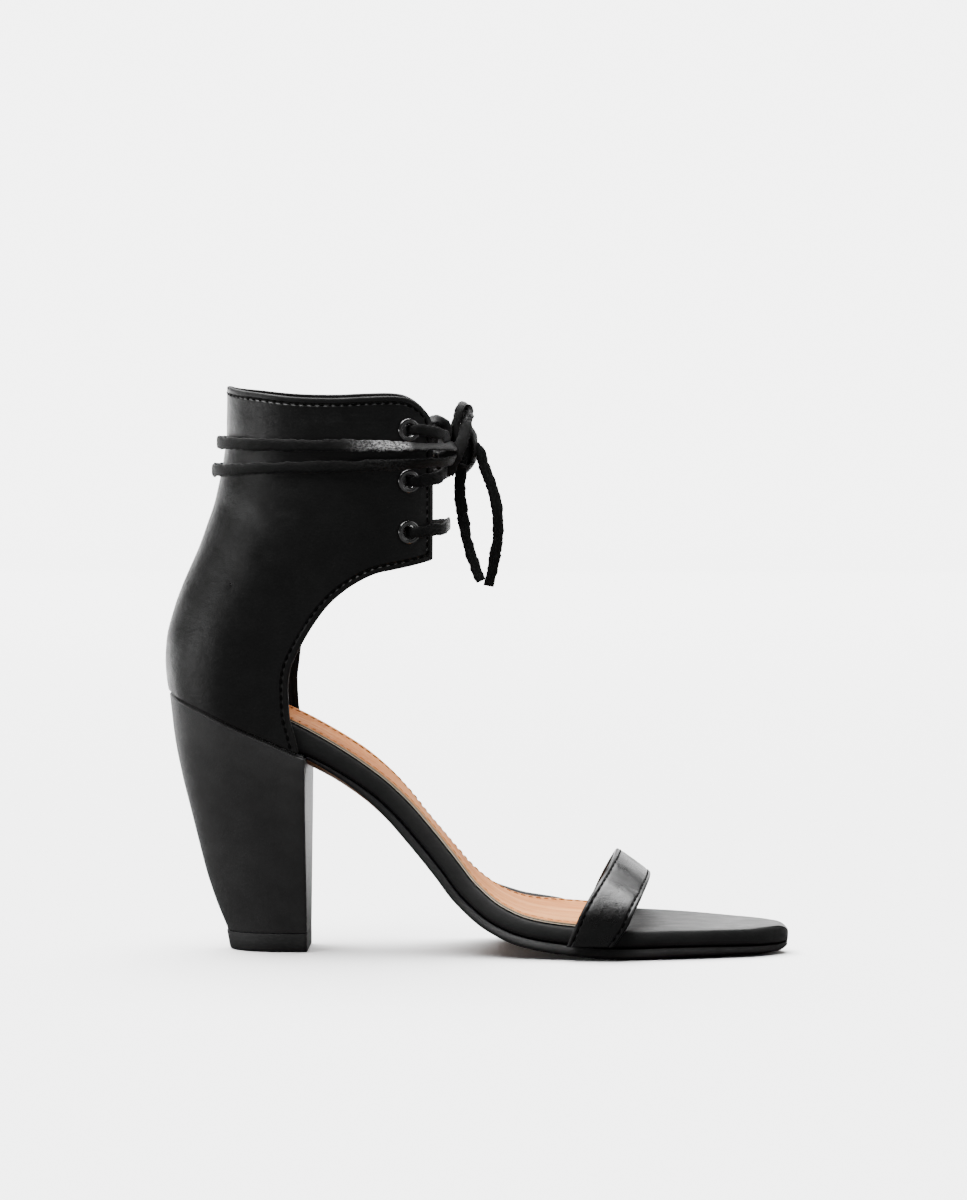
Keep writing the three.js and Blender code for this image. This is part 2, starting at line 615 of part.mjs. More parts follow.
// Toe strap: a band from one side of the sole over the foot to the other. Its rear edge stands higher
// than its front edge, because the instep rises, and both ends go down outside the footbed.
const strapFoot = outsoleThickness + 2 * meetGap;
const strapWallTop = standHeight + 2;
const strapSteps = 25;
const strapStraight = 0.12;
function strapEdge(share, edge) {
  const arch = clamp((share - strapStraight) / (1 - 2 * strapStraight), 0, 1);
  const turn = Math.PI * arch ** 0.96;
  const wall = Math.min(1, Math.min(share, 1 - share) / strapStraight);
  const over = Math.sin(turn) ** 0.9;
  const z = wall < 1 ? lerp(strapFoot, strapWallTop, wall) : lerp(strapWallTop, edge.crest, over);
  const outward = edge.outerShift * smoothstep(share, 0.45, 1);
  const x = edge.start + outward + wall * edge.wall + over ** 1.2 * edge.lean;
  const s = sectionAt(edge.start + outward);
  const reach = s.half + 2.2 * meetGap + strapThickness / 2;
  return new THREE.Vector3(x, s.middle - reach * Math.cos(turn), z);
}
const strapRings = Array.from({ length: strapSteps + 1 }, (_, i) => {
  const share = i / strapSteps;
  const edges = (k) => [
    strapEdge(k, strapRear),
    strapEdge(k, strapAhead),
  ];
  const [rear, front] = edges(share);
  const [rearA, frontA] = edges(Math.max(share - 0.01, 0));
  const [rearB, frontB] = edges(Math.min(share + 0.01, 1));
  const along = rearB.clone().add(frontB).sub(rearA).sub(frontA).normalize();
  const across = front.clone().sub(rear);
  const out = across.clone().normalize().cross(along).normalize().negate();
  if (out.dot(new THREE.Vector3(0, rear.y, 20)) < 0) out.negate();
  const at = (w, t) => rear.clone().addScaledVector(across, w).addScaledVector(out, t * strapThickness);
  return [at(0, -0.3), at(0.06, -0.5), at(0.5, -0.5), at(0.94, -0.5), at(1, -0.3), at(1, 0.3), at(0.94, 0.5),
    at(0.5, 0.6), at(0.06, 0.5), at(0, 0.3)];
});
const toeStrap = loft(strapRings);

// Flat lace along a path round the ankle, upright and with its broad side facing out of the shoe.
const upward = new THREE.Vector3(0, 0, 1);
function laceBand(path) {
  const rings = path.map((point, i) => {
    const a = path[Math.max(i - 1, 0)];
    const b = path[Math.min(i + 1, path.length - 1)];
    const along = b.clone().sub(a).normalize();
    const out = along.clone().cross(upward).normalize();
    const across = along.clone().cross(out).normalize();
    const at = (u, v) => point.clone().addScaledVector(across, u * laceWidth).addScaledVector(out, v * laceThickness);
    return [at(-0.5, 0), at(-0.42, -0.5), at(0.42, -0.5), at(0.5, 0), at(0.42, 0.5), at(-0.42, 0.5)];
  });
  return loft(rings);
}

// A place on the lace beside the cuff. Ahead of the open throat the lace bridges the gap between the
// flaps and comes no further forward than its front.
function besideThroat(around, height, offset, front) {
  const { point } = besideCuff(around, height, offset);
  const ahead = point.x - front;
  point.x = front + (ahead - Math.hypot(ahead, bridgeRound)) / 2;
  return point;
}

// A strand round the throat from one eyelet to another. It lies on the flanges and runs on ahead of
// the open throat.
const onFlange = eyeletStandoff + flangeThickness + 2 * meetGap + laceThickness / 2;
const strandSteps = 14;
function throatStrand(from, to, rise = 0, steps = strandSteps) {
  return Array.from({ length: steps + 1 }, (_, i) => {
    const share = i / steps;
    const turned = lerp(eyeletRounds[from], 2 - eyeletRounds[to], share);
    const around = turned > 1 ? turned - 2 : turned;
    const level = lerp(eyeletHeights[from], eyeletHeights[to], smoothstep(share, 0, 1));
    const height = level + rise * Math.sin(Math.PI * share);
    return besideThroat(around, height, onFlange, laceFront);
  });
}
const lowest = eyeletCount - 1;
const lowBar = laceBand(throatStrand(lowest, lowest, barRise));
const crossings = solid(laceBand(throatStrand(0, 1))).add(solid(laceBand(throatStrand(1, 0))));

// Two turns of lace round the cuff. They stand off its back a little, lie against its sides, and pass
// over the eyelets and the crossing to the knot. back, side and front: how far under the rim's height.
const wrapLevels = [
  { name: 'ankle_wrap_upper', back: 19, side: 19.4, front: 20.2, stand: 1.3 },
  { name: 'ankle_wrap_lower', back: 29.2, side: 27, front: 25.2, stand: 1.5 },
];
const onCuff = 2 * meetGap + laceThickness / 2;
const onCrossing = onFlange + laceThickness + 2 * meetGap;
const wrapSteps = 36;
const wrapEnd = 0.92;
const wraps = wrapLevels.map(({ name, back, side, front, stand }) => {
  const places = Array.from({ length: wrapSteps + 1 }, (_, i) => {
    const around = wrapEnd * ((2 * i) / wrapSteps - 1);
    const share = Math.abs(around);
    const drop = lerp(back, side, smoothstep(share, 0, 0.45)) + (front - side) * smoothstep(share, 0.45, 0.9);
    const stood = stand * (1 - smoothstep(share, 0, 0.4));
    const out = onCuff + stood + (onCrossing - onCuff) * smoothstep(share, eyeletRounds[0] - 0.2, eyeletRounds[0] - 0.02);
    return besideThroat(around, rimHeight - drop, out, laceFront + onCrossing - onFlange);
  });
  return { name, geometry: laceBand(places) };
});

// Knot, bow loop and the two ends, which hang free in front of the throat.
const knotPlace = laceFront + laceThickness + knotSize.deep;
const knotHeight = rimHeight - (wrapLevels[0].front + wrapLevels[1].front) / 2;
const knot = new THREE.SphereGeometry(1, 14, 10);
knot.scale(knotSize.deep, knotSize.wide, knotSize.tall);
knot.translate(knotPlace, 0, knotHeight);

// Flat cord along a path that lies in a plane square to the foot's width. Its broad side lies in that
// plane, or stands square to it where the path bends too sharply for that.
function cord(route, steps, standing = false) {
  const section = new THREE.Shape(Array.from({ length: 8 }, (_, i) => {
    const angle = (Math.PI * (2 * i + 1)) / 8;
    const thick = (Math.cos(angle) * laceThickness) / 2;
    const wide = (Math.sin(angle) * laceWidth) / 2;
    return standing ? new THREE.Vector2(wide, thick) : new THREE.Vector2(thick, wide);
  }));
  const curve = new THREE.CatmullRomCurve3(route.map(([x, z]) => new THREE.Vector3(x, 0, z)), false, 'centripetal');
  return new THREE.ExtrudeGeometry(section, { steps, bevelEnabled: false, extrudePath: curve });
}
const bowLoop = cord([
  [103.8, 186.2], [104.2, 189.2], [105.4, 192.6], [107.2, 193.8], [108.6, 191.8], [108.9, 189], [108.6, 186.6],
], 16, true);
const innerTail = cord([
  [106, 169.7], [105.8, 163], [106.6, 156], [108, 148], [110, 140.4], [112, 134.8], [113.2, 132],
], 14);
const outerTail = cord([
  [112.8, 177.6], [113.7, 174.4], [115.4, 169.6], [117.6, 163.6], [119, 157], [119.2, 150], [118.5, 142.8],
  [117.2, 136.4], [115.9, 130],
], 18);

const shoe = new THREE.Group();
const pieces = new THREE.Group();
shoe.add(pieces);
function piece(name, geometry, material, parent = pieces) {
  const mesh = new THREE.Mesh(geometry, material);
  mesh.name = name;
  parent.add(mesh);
  return mesh;
}

piece('outsole', geometryOf(outsole), soleLeather);
piece('footbed', geometryOf(footbed), blackLeather);
piece('insole_sock', geometryOf(sock), tanLeather);
piece('heel_block', geometryOf(heelBlock), heelLeather);
piece('top_lift', topLift, liftRubber);
piece('upper_counter_cuff', geometryOf(upper), blackLeather);
piece('toe_strap', toeStrap, blackLeather);
eyelets.forEach(({ name, geometry }) => piece(name, geometry, nickel));
piece('lace_bar_low', lowBar, laceLeather);
piece('lace_crossing', geometryOf(crossings), laceLeather);
wraps.forEach(({ name, geometry }) => piece(name, geometry, laceLeather));

// The shoe's origin is the middle of its box on the floor, without the free ends of the lace.
const extent = new THREE.Box3().setFromObject(pieces);
const middle = extent.getCenter(new THREE.Vector3());
const freeLace = new THREE.Group();
shoe.add(freeLace);
piece('lace_knot', knot, laceLeather, freeLace);
piece('lace_bow_loop', bowLoop, laceLeather, freeLace);
const innerEnd = piece('lace_end_inner', innerTail, laceLeather, freeLace);
const outerEnd = piece('lace_end_outer', outerTail, laceLeather, freeLace);
innerEnd.position.y = innerEndPlace;
outerEnd.position.y = outerEndPlace;
[pieces, freeLace].forEach((group) => group.position.set(-middle.x, -middle.y, 0));

export default shoe;
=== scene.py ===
import math

import bpy
import numpy as np
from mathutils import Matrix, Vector


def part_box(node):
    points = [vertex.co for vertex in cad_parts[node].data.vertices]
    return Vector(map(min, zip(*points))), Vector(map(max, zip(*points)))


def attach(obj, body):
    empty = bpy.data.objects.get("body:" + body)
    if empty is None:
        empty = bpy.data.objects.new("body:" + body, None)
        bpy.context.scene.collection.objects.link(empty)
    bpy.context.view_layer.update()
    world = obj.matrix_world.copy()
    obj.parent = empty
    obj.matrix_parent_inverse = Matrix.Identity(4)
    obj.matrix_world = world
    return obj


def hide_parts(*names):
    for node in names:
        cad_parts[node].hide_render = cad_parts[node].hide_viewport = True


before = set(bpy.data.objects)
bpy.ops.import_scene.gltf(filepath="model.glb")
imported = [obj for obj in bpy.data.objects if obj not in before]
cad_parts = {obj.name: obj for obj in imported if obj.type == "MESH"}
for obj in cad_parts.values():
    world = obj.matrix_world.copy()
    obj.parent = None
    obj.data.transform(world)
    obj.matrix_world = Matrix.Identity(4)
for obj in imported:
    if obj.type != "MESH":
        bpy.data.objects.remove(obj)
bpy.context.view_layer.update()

# Camera.
# A long lens from the inner side, a little above the floor and turned slightly to the toe.
F_PIXELS = 5782
PHOTO_HEIGHT = 1200
camera = bpy.data.cameras.new("camera")
camera.sensor_width = 36
camera.lens = 36 * F_PIXELS / PHOTO_HEIGHT
camera.clip_start, camera.clip_end = 0.1, 40
camera_object = bpy.data.objects.new("camera", camera)
camera_object.location = (0.0673, -2.066, 0.2425)
camera_object.rotation_euler = (math.pi / 2 - math.atan(329 / F_PIXELS), 0, math.radians(1.8))
bpy.context.scene.collection.objects.link(camera_object)
bpy.context.scene.camera = camera_object

# Lace through the eyelets.
# One flat strip of black leather with raw cut edges. It runs from the top eyelet on each side over
# the throat and down inside the flaps to the lowest bar.
SHOE_LENGTH = 0.2233
HEEL_HEIGHT = 0.091
RIM_HEIGHT = 0.2006
ANKLE_WIDTH = 0.061
SEAT_ROUND = 0.027
SEAT_SLOPE = 0.4306
CLOSED_FRONT = 0.107
FRONT_ROUND = 0.050
OVAL = 2.15
UPPER_WALL = 0.0019
EYELET_PLACE = 0.0884
EYELET_SPACING = 0.018
EYELET_DROP = 0.0142
LACE_WIDTH = 0.0042
LACE_THICK = 0.0013
LACE_FRONT = 0.1016
BRIDGE_ROUND = 0.003
SHIFT = np.array([
    SHOE_LENGTH - 0.0003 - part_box("footbed")[1].x,
    -sum(corner.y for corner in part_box("upper_counter_cuff")) / 2,
    0,
])
LEVELS = {
    "up": [-0.1, 0, 0.06, 0.116, 0.18, 0.289, 0.361, 0.424, 0.484, 0.557, 0.637, 0.781, 0.863, 1],
    "back": [0.012, 0.0063, 0.0018, 0, 0.0018, 0.015, 0.028, 0.0415, 0.0545, 0.0675, 0.0806, 0.095,
             0.0995, 0.1],
    "tilt": [1, 1, 0.97, 0.93, 0.86, 0.7, 0.58, 0.48, 0.38, 0.27, 0.17, 0.05, 0, -0.02],
    "half": [0.43, 0.437, 0.44, 0.443, 0.45, 0.467, 0.477, 0.485, 0.492, 0.498, 0.5, 0.5, 0.499, 0.498],
    "round": [1.07, 1.07, 1.08, 1.1, 1.12, 1.2, 1.25, 1.28, 1.3, 1.32, 1.34, 1.36, 1.36, 1.36],
    "front": [1.16, 1.14, 1.12, 1.1, 1.07, 1.03, 1.01, 1, 1, 1, 1, 1, 1, 1],
}


def column(table, name, at):
    """One column of a table at places along its first column, by a cubic that never overshoots."""
    keys, values = np.array(table[next(iter(table))], float), np.array(table[name], float)
    if keys[-1] < keys[0]:
        keys, values = keys[::-1], values[::-1]
    width = np.diff(keys)
    slope = np.diff(values) / width
    a, b = slope[:-1], slope[1:]
    both = a * b > 0
    inner = np.where(both, 2 * a * b / np.where(both, a + b, 1), 0)
    tangent = np.concatenate(([slope[0]], inner, [slope[-1]]))
    at = np.clip(at, keys[0], keys[-1])
    i = np.clip(np.searchsorted(keys, at) - 1, 0, len(width) - 1)
    t = (at - keys[i]) / width[i]
    ends = (2 * t**3 - 3 * t**2 + 1) * values[i] + (3 * t**2 - 2 * t**3) * values[i + 1]
    turns = (t**3 - 2 * t**2 + t) * tangent[i] + (t**3 - t**2) * tangent[i + 1]
    return ends + turns * width[i]


def round_end(distance, length, power):
    """How full a rounded end is: 0 at its tip, 1 past the rounding."""
    left = 1 - np.clip(distance / length, 0, 1)
    return (1 - left**power) ** (1 / power)


def smoothstep(x, low, high):
    t = np.clip((x - low) / (high - low), 0, 1)
    return t * t * (3 - 2 * t)


def cuff_point(angle, up, offset=0.0):
    """Points of the cuff's face: angle from the back line, negative on the inner side."""
    tilt = SEAT_SLOPE * column(LEVELS, "tilt", up)
    back = SHOE_LENGTH * column(LEVELS, "back", up)
    depth = (CLOSED_FRONT * column(LEVELS, "front", up) - back) / np.cos(tilt)
    half = ANKLE_WIDTH * column(LEVELS, "half", up) + offset
    rounding = SEAT_ROUND * column(LEVELS, "round", up) + offset
    u = depth * (1 - np.cos(angle)) / 2
    wide = half * round_end(u, rounding, OVAL) * round_end(depth - u, FRONT_ROUND, OVAL)
    end = u * (1 + 2 * offset / depth) - offset
    height = HEEL_HEIGHT + (RIM_HEIGHT - HEEL_HEIGHT) * up
    return np.stack([
        back + end * np.cos(tilt),
        np.sign(np.sin(angle)) * wide,
        height - end * np.sin(tilt),
    ], axis=-1)


def beside_cuff(around, height, offset=0.0):
    """Points beside the cuff at real heights, and the way out of the leather there."""
    angle = np.pi * np.asarray(around, float)
    height = np.asarray(height, float) + 0 * angle
    up = (height - HEEL_HEIGHT) / (RIM_HEIGHT - HEEL_HEIGHT)
    for _ in range(8):
        up = up + (height - cuff_point(angle, up, offset)[..., 2]) / (RIM_HEIGHT - HEEL_HEIGHT)
    step = cuff_point(angle + 0.01, up, offset) - cuff_point(angle - 0.01, up, offset)
    out = np.stack([-step[..., 1], step[..., 0], 0 * angle], axis=-1)
    return cuff_point(angle, up, offset), out / np.linalg.norm(out, axis=-1, keepdims=True)


def around_at(x, height):
    """How far round the cuff a place along the shoe lies."""
    tries = np.linspace(0, 1, 2001)
    return float(np.interp(x, beside_cuff(tries, height)[0][:, 0], tries))


EYELET_HEIGHTS = [RIM_HEIGHT - EYELET_DROP - i * EYELET_SPACING for i in range(3)]
EYELET_ROUNDS = [around_at(EYELET_PLACE, height) for height in EYELET_HEIGHTS]


def unit(v):
    v = np.asarray(v, float)
    return v / np.maximum(np.linalg.norm(v, axis=-1, keepdims=True), 1e-12)


def through(points, step=0.0005):
    """A smooth line through points in equal steps. Further columns of the points go along with it."""
    p = np.array(points, float)
    p = np.vstack([2 * p[0] - p[1], p, 2 * p[-1] - p[-2]])
    gaps = np.maximum(np.linalg.norm(np.diff(p[:, :3], axis=0), axis=1), 1e-7)
    t = np.concatenate(([0], np.cumsum(np.sqrt(gaps))))
    rows = []
    for i in range(1, len(p) - 2):
        s = np.linspace(t[i], t[i + 1], 30, endpoint=i == len(p) - 3)[:, None]

        def mix(a, b, ta, tb):
            return ((tb - s) * a + (s - ta) * b) / (tb - ta)

        a = [mix(p[i + k - 1], p[i + k], t[i + k - 1], t[i + k]) for k in range(3)]
        b = [mix(a[k], a[k + 1], t[i + k - 1], t[i + k + 1]) for k in range(2)]
        rows.append(mix(b[0], b[1], t[i], t[i + 1]))
    line = np.vstack(rows)
    way = np.concatenate(([0], np.cumsum(np.linalg.norm(np.diff(line[:, :3], axis=0), axis=1))))
    at = np.linspace(0, way[-1], max(int(way[-1] / step), 4) + 1)
    return np.stack([np.interp(at, way, line[:, k]) for k in range(line.shape[1])], axis=1)


def made(name, points, faces, materials, places=None, **numbers):
    """A smooth shaded mesh object. places gives each face's material, numbers a value for each point."""
    mesh = bpy.data.meshes.new(name)
    mesh.from_pydata([tuple(p) for p in np.asarray(points, float)], [], faces)
    for material in materials:
        mesh.materials.append(material)
    if places is not None:
        mesh.polygons.foreach_set("material_index", np.asarray(places, np.int32))
    mesh.polygons.foreach_set("use_smooth", np.ones(len(mesh.polygons), bool))
    for key, values in numbers.items():
        mesh.attributes.new(key, "FLOAT", "POINT").data.foreach_set("value", np.asarray(values, np.float32))
    mesh.validate()
    mesh.update()
    thing = bpy.data.objects.new(name, mesh)
    bpy.context.scene.collection.objects.link(thing)
    return thing


def skin_faces(rings, count, closed=False):
    """Faces between rings of equal count, with a cap over each end unless the rings close."""
    faces = []
    for i in range(rings if closed else rings - 1):
        a, b = i * count, ((i + 1) % rings) * count
        faces += [(a + j, a + (j + 1) % count, b + (j + 1) % count, b + j) for j in range(count)]
    if not closed:
        faces.append(tuple(range(count))[::-1])
        faces.append(tuple(range((rings - 1) * count, rings * count)))
    return faces


def outward(points, faces):
    """The faces turned so that a closed body's normals look out."""
    p = np.asarray(points, float)
    total = 0
    for face in faces:
        for k in range(1, len(face) - 1):
            total += np.dot(p[face[0]], np.cross(p[face[k]], p[face[k + 1]]))
    return faces if total > 0 else [face[::-1] for face in faces]


class Value:
    """A shader socket that can be calculated with like a number."""

    def __init__(self, tree, socket):
        self.tree, self.socket = tree, socket

    def math(self, how, *others, first=None):
        node = self.tree.nodes.new("ShaderNodeMath")
        node.operation = how
        for slot, other in zip(node.inputs, [self if first is None else first, *others]):
            if isinstance(other, Value):
                self.tree.links.new(other.socket, slot)
            else:
                slot.default_value = other
        if first is not None:
            self.tree.links.new(self.socket, node.inputs[1])
        return Value(self.tree, node.outputs[0])

    def __add__(self, other):
        return self.math("ADD", other)

    def __sub__(self, other):
        return self.math("SUBTRACT", other)

    def __mul__(self, other):
        return self.math("MULTIPLY", other)

    def __abs__(self):
        return self.math("ABSOLUTE")

    __radd__ = __add__
    __rmul__ = __mul__

    def __rsub__(self, other):
        return self.math("SUBTRACT", first=other)

    def step(self, low, high):
        """0 under low, 1 over high, and smooth between them."""
        node = self.tree.nodes.new("ShaderNodeMapRange")
        node.interpolation_type = "SMOOTHSTEP"
        if low > high:
            node.inputs["To Min"].default_value, node.inputs["To Max"].default_value = 1, 0
            low, high = high, low
        node.inputs["From Min"].default_value, node.inputs["From Max"].default_value = low, high
        self.tree.links.new(self.socket, node.inputs["Value"])
        return Value(self.tree, node.outputs[0])


class Finish:
    """A material, with one call for any node in its tree."""

    def __init__(self, name):
        self.material = bpy.data.materials.new(name)
        self.material.use_nodes = True
        self.tree = self.material.node_tree
        self.shader = self.tree.nodes["Principled BSDF"]
        self.place = self.node("ShaderNodeTexCoord", "Object")

    def node(self, kind, output=0, settings=None, **inputs):
        node = self.tree.nodes.new(kind)
        for key, value in (settings or {}).items():
            setattr(node, key, value)
        for key, value in inputs.items():
            slot = node.inputs[int(key[1:]) if key[1:].isdigit() else key.replace("_", " ")]
            if isinstance(value, Value):
                self.tree.links.new(value.socket, slot)
            else:
                slot.default_value = value
        return Value(self.tree, node.outputs[output])

    def noise(self, scale, detail=2.0, rough=0.5, where=None):
        """Noise from 0 to 1 whose patches are scale metres across."""
        return self.node("ShaderNodeTexNoise", Vector=where or self.place, Scale=1 / scale, Detail=detail,
                         Roughness=rough)

    def cells(self, scale, where=None):
        return self.node("ShaderNodeTexVoronoi", "Distance", {"feature": "DISTANCE_TO_EDGE"},
                         Vector=where or self.place, Scale=1 / scale)

    def number(self, name):
        return self.node("ShaderNodeAttribute", "Fac", {"attribute_name": name})

    def stretched(self, x, y, z):
        """The place, drawn out along the axes whose number is under 1."""
        return self.node("ShaderNodeVectorMath", 0, {"operation": "MULTIPLY"}, _0=self.place, _1=(x, y, z))

    def mix(self, share, a, b):
        """From colour a to colour b."""
        return self.node("ShaderNodeMix", 2, {"data_type": "RGBA"}, _0=share, _6=a, _7=b)

    def done(self, colour, roughness, height, depth, metallic=0.0, coat=0.0, specular=0.5):
        for key, value in {"Base Color": colour, "Roughness": roughness}.items():
            if isinstance(value, Value):
                self.tree.links.new(value.socket, self.shader.inputs[key])
            else:
                self.shader.inputs[key].default_value = value
        self.shader.inputs["Metallic"].default_value = metallic
        self.shader.inputs["Coat Weight"].default_value = coat
        self.shader.inputs["Coat Roughness"].default_value = 0.3
        self.shader.inputs["Specular IOR Level"].default_value = specular
        bump = self.node("ShaderNodeBump", Strength=1.0, Distance=depth, Height=height)
        self.tree.links.new(bump.socket, self.shader.inputs["Normal"])
        return self.material


def grey(value):
    return (value, value, value, 1)


def lace_finish():
    """Black on the grain side, grey and fuzzy on the flesh side and the cut edges, with pale fibrous
    streaks at the twists and bends that are scuffed fibres and a painted highlight.
    """
    f = Finish("lace_leather")
    flesh, edge, rub = f.number("flesh"), f.number("edge"), f.number("rub")
    fuzz = f.noise(0.0005, 4, 0.7)
    streaks = f.noise(0.0016, 3, 0.6)
    fibres = f.noise(0.0007, 4, 0.75, f.stretched(0.45, 1, 1))
    paler_share = (flesh * (0.25 + streaks * 0.75)).math("MINIMUM", 1.0)
    base = f.mix(paler_share, grey(0.003), grey(0.03))
    base = f.mix(fuzz.step(0.58, 0.8) * 0.5, base, grey(0.035))
    base = f.mix(edge * fuzz.step(0.42, 0.72) * 0.8, base, grey(0.07))
    slants = f.noise(0.0004, 3, 0.7, f.stretched(1, 1, 0.3))
    # Pale fibrous streaks: scuffed fibres, painted lighter as a painted highlight.
    base = f.mix(rub * fibres.step(0.4, 0.6) * slants.step(0.3, 0.55), base, grey(0.48))
    rough = 0.52 + flesh * 0.25 + fuzz * 0.15 - rub * 0.15
    height = fuzz * (0.7 + flesh * 0.6 + edge * 0.8) + streaks * 0.5 + fibres * (0.2 + rub)
    height = height - f.cells(0.0005).step(0.1, 0) * 0.2
    return f.done(base, rough, height, 0.00026, specular=0.17)


LACE = lace_finish()
LACE_ROUND = 14


def ribbon(name, path, facing, width=LACE_WIDTH, thick=LACE_THICK, seed=1, rub=0.0):
    """A strip of lace along a path. facing is the way that its grain side looks at each point."""
    path, facing = np.asarray(path, float), np.asarray(facing, float)
    count = len(path)
    along = unit(np.gradient(path, axis=0))
    across = unit(np.cross(along, facing))
    out = np.cross(across, along)
    width, thick = np.broadcast_to(width, count), np.broadcast_to(thick, count)
    luck = np.random.default_rng(seed)
    ragged = []
    for _ in range(2):
        coarse, fine = luck.normal(0, 1, count + 40), luck.normal(0, 1, count + 40)
        coarse = np.convolve(coarse, np.hanning(13) / 2.2, "same")[20:-20]
        fine = np.convolve(fine, np.hanning(4) / 1.2, "same")[20:-20]
        ragged.append(0.00013 * coarse + 0.00013 * fine)
    rings, edge, flesh = [], [], []
    for k in range(LACE_ROUND):
        turn = 2 * np.pi * k / LACE_ROUND
        u = np.sign(np.cos(turn)) * abs(np.cos(turn)) ** 0.45
        v = np.sign(np.sin(turn)) * abs(np.sin(turn)) ** 0.8
        slack = ragged[0] if u > 0 else -ragged[1]
        reach = (u * width / 2 + slack * min(1, abs(u) * 1.2))[:, None]
        lift = (v * thick / 2 * (1.0 - 0.18 * u * u))[:, None]
        rings.append(path + across * reach + out * lift)
        edge.append(np.full(count, 1.0 if abs(u) > 0.93 else 0.0))
        flesh.append(np.full(count, 1.0 if v < -0.3 else 0.0))
    rings = np.stack(rings, axis=1)
    points = rings.reshape(-1, 3)
    faces = outward(points - points.mean(axis=0), skin_faces(count, LACE_ROUND))
    # Each point's share of painted highlight over scuffed fibres.
    rubbed = np.repeat(np.broadcast_to(rub, count).astype(float), LACE_ROUND)
    return made(name, points, faces, [LACE], edge=np.stack(edge, 1).ravel(),
                flesh=np.stack(flesh, 1).ravel(), rub=rubbed)


def eyelet_seat(side, i):
    point, out = beside_cuff(side * EYELET_ROUNDS[i], EYELET_HEIGHTS[i])
    return point, out


def strand(start, end, lift, rise=0.0):
    """The lace's way over the throat from an inner eyelet to an outer one."""
    share = np.linspace(0.09, 0.91, 40)
    around = -EYELET_ROUNDS[start] - (2 - EYELET_ROUNDS[start] - EYELET_ROUNDS[end]) * share
    around = np.where(around < -1, around + 2, around)
    low, high = EYELET_HEIGHTS[start], EYELET_HEIGHTS[end]
    height = low + (high - low) * smoothstep(share, 0, 1) + rise * np.sin(np.pi * share)
    point, out = beside_cuff(around, height, 0.0022)
    ahead = point[:, 0] - LACE_FRONT
    point[:, 0] = LACE_FRONT + (ahead - np.hypot(ahead, BRIDGE_ROUND)) / 2
    point += out * (lift * np.sin(np.pi * share) ** 2)[:, None]
    return np.hstack([point, out])


def into_hole(side, i):
    """The lace's way out of an eyelet towards the front, from inside the flap."""
    seat, out = eyelet_seat(side, i)
    ahead = unit(np.array([-out[1] * side, out[0] * side, 0]))
    ahead = ahead if ahead[0] > 0 else -ahead
    rows = [(-0.0042, 0, 0.2), (-0.0005, 0.0002, 0.5), (0.0009, 0.0012, 0.9), (0.0019, 0.0030, 1)]
    return np.array([
        np.concatenate([seat + out * depth + ahead * way, unit(out * face - ahead * (1 - face))])
        for depth, way, face in rows
    ])


def inside_run(side, start, end):
    """The lace's way down inside a flap between two eyelets."""
    rows = []
    for share in (0.22, 0.5, 0.78):
        around = side * (EYELET_ROUNDS[start] + (EYELET_ROUNDS[end] - EYELET_ROUNDS[start]) * share)
        height = EYELET_HEIGHTS[start] + (EYELET_HEIGHTS[end] - EYELET_HEIGHTS[start]) * share
        point, out = beside_cuff(around, height)
        rows.append(np.concatenate([point - out * (UPPER_WALL + 0.0019), -out]))
    return np.array(rows)


lace_runs = np.vstack([
    into_hole(-1, 0), strand(0, 1, 0.0009), into_hole(1, 1)[::-1],
    inside_run(1, 1, 2),
    into_hole(1, 2), strand(2, 2, 0, 0.0016)[::-1], into_hole(-1, 2)[::-1],
    inside_run(-1, 2, 1),
    into_hole(-1, 1), strand(1, 0, -0.0007), into_hole(1, 0)[::-1],
])
lace_line = through(lace_runs)
lace_path, lace_facing = lace_line[:, :3] - SHIFT, lace_line[:, 3:]
from_hole = np.min([
    np.linalg.norm(lace_path - (eyelet_seat(side, i)[0] - SHIFT), axis=1)
    for side in (-1, 1) for i in range(3)
], axis=0)
lace_through = ribbon("lace_through_eyelets", lace_path, lace_facing,
                      0.0033 + 0.0009 * smoothstep(from_hole, 0.001, 0.006), seed=3)
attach(lace_through, "root")
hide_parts("lace_bar_low", "lace_crossing")

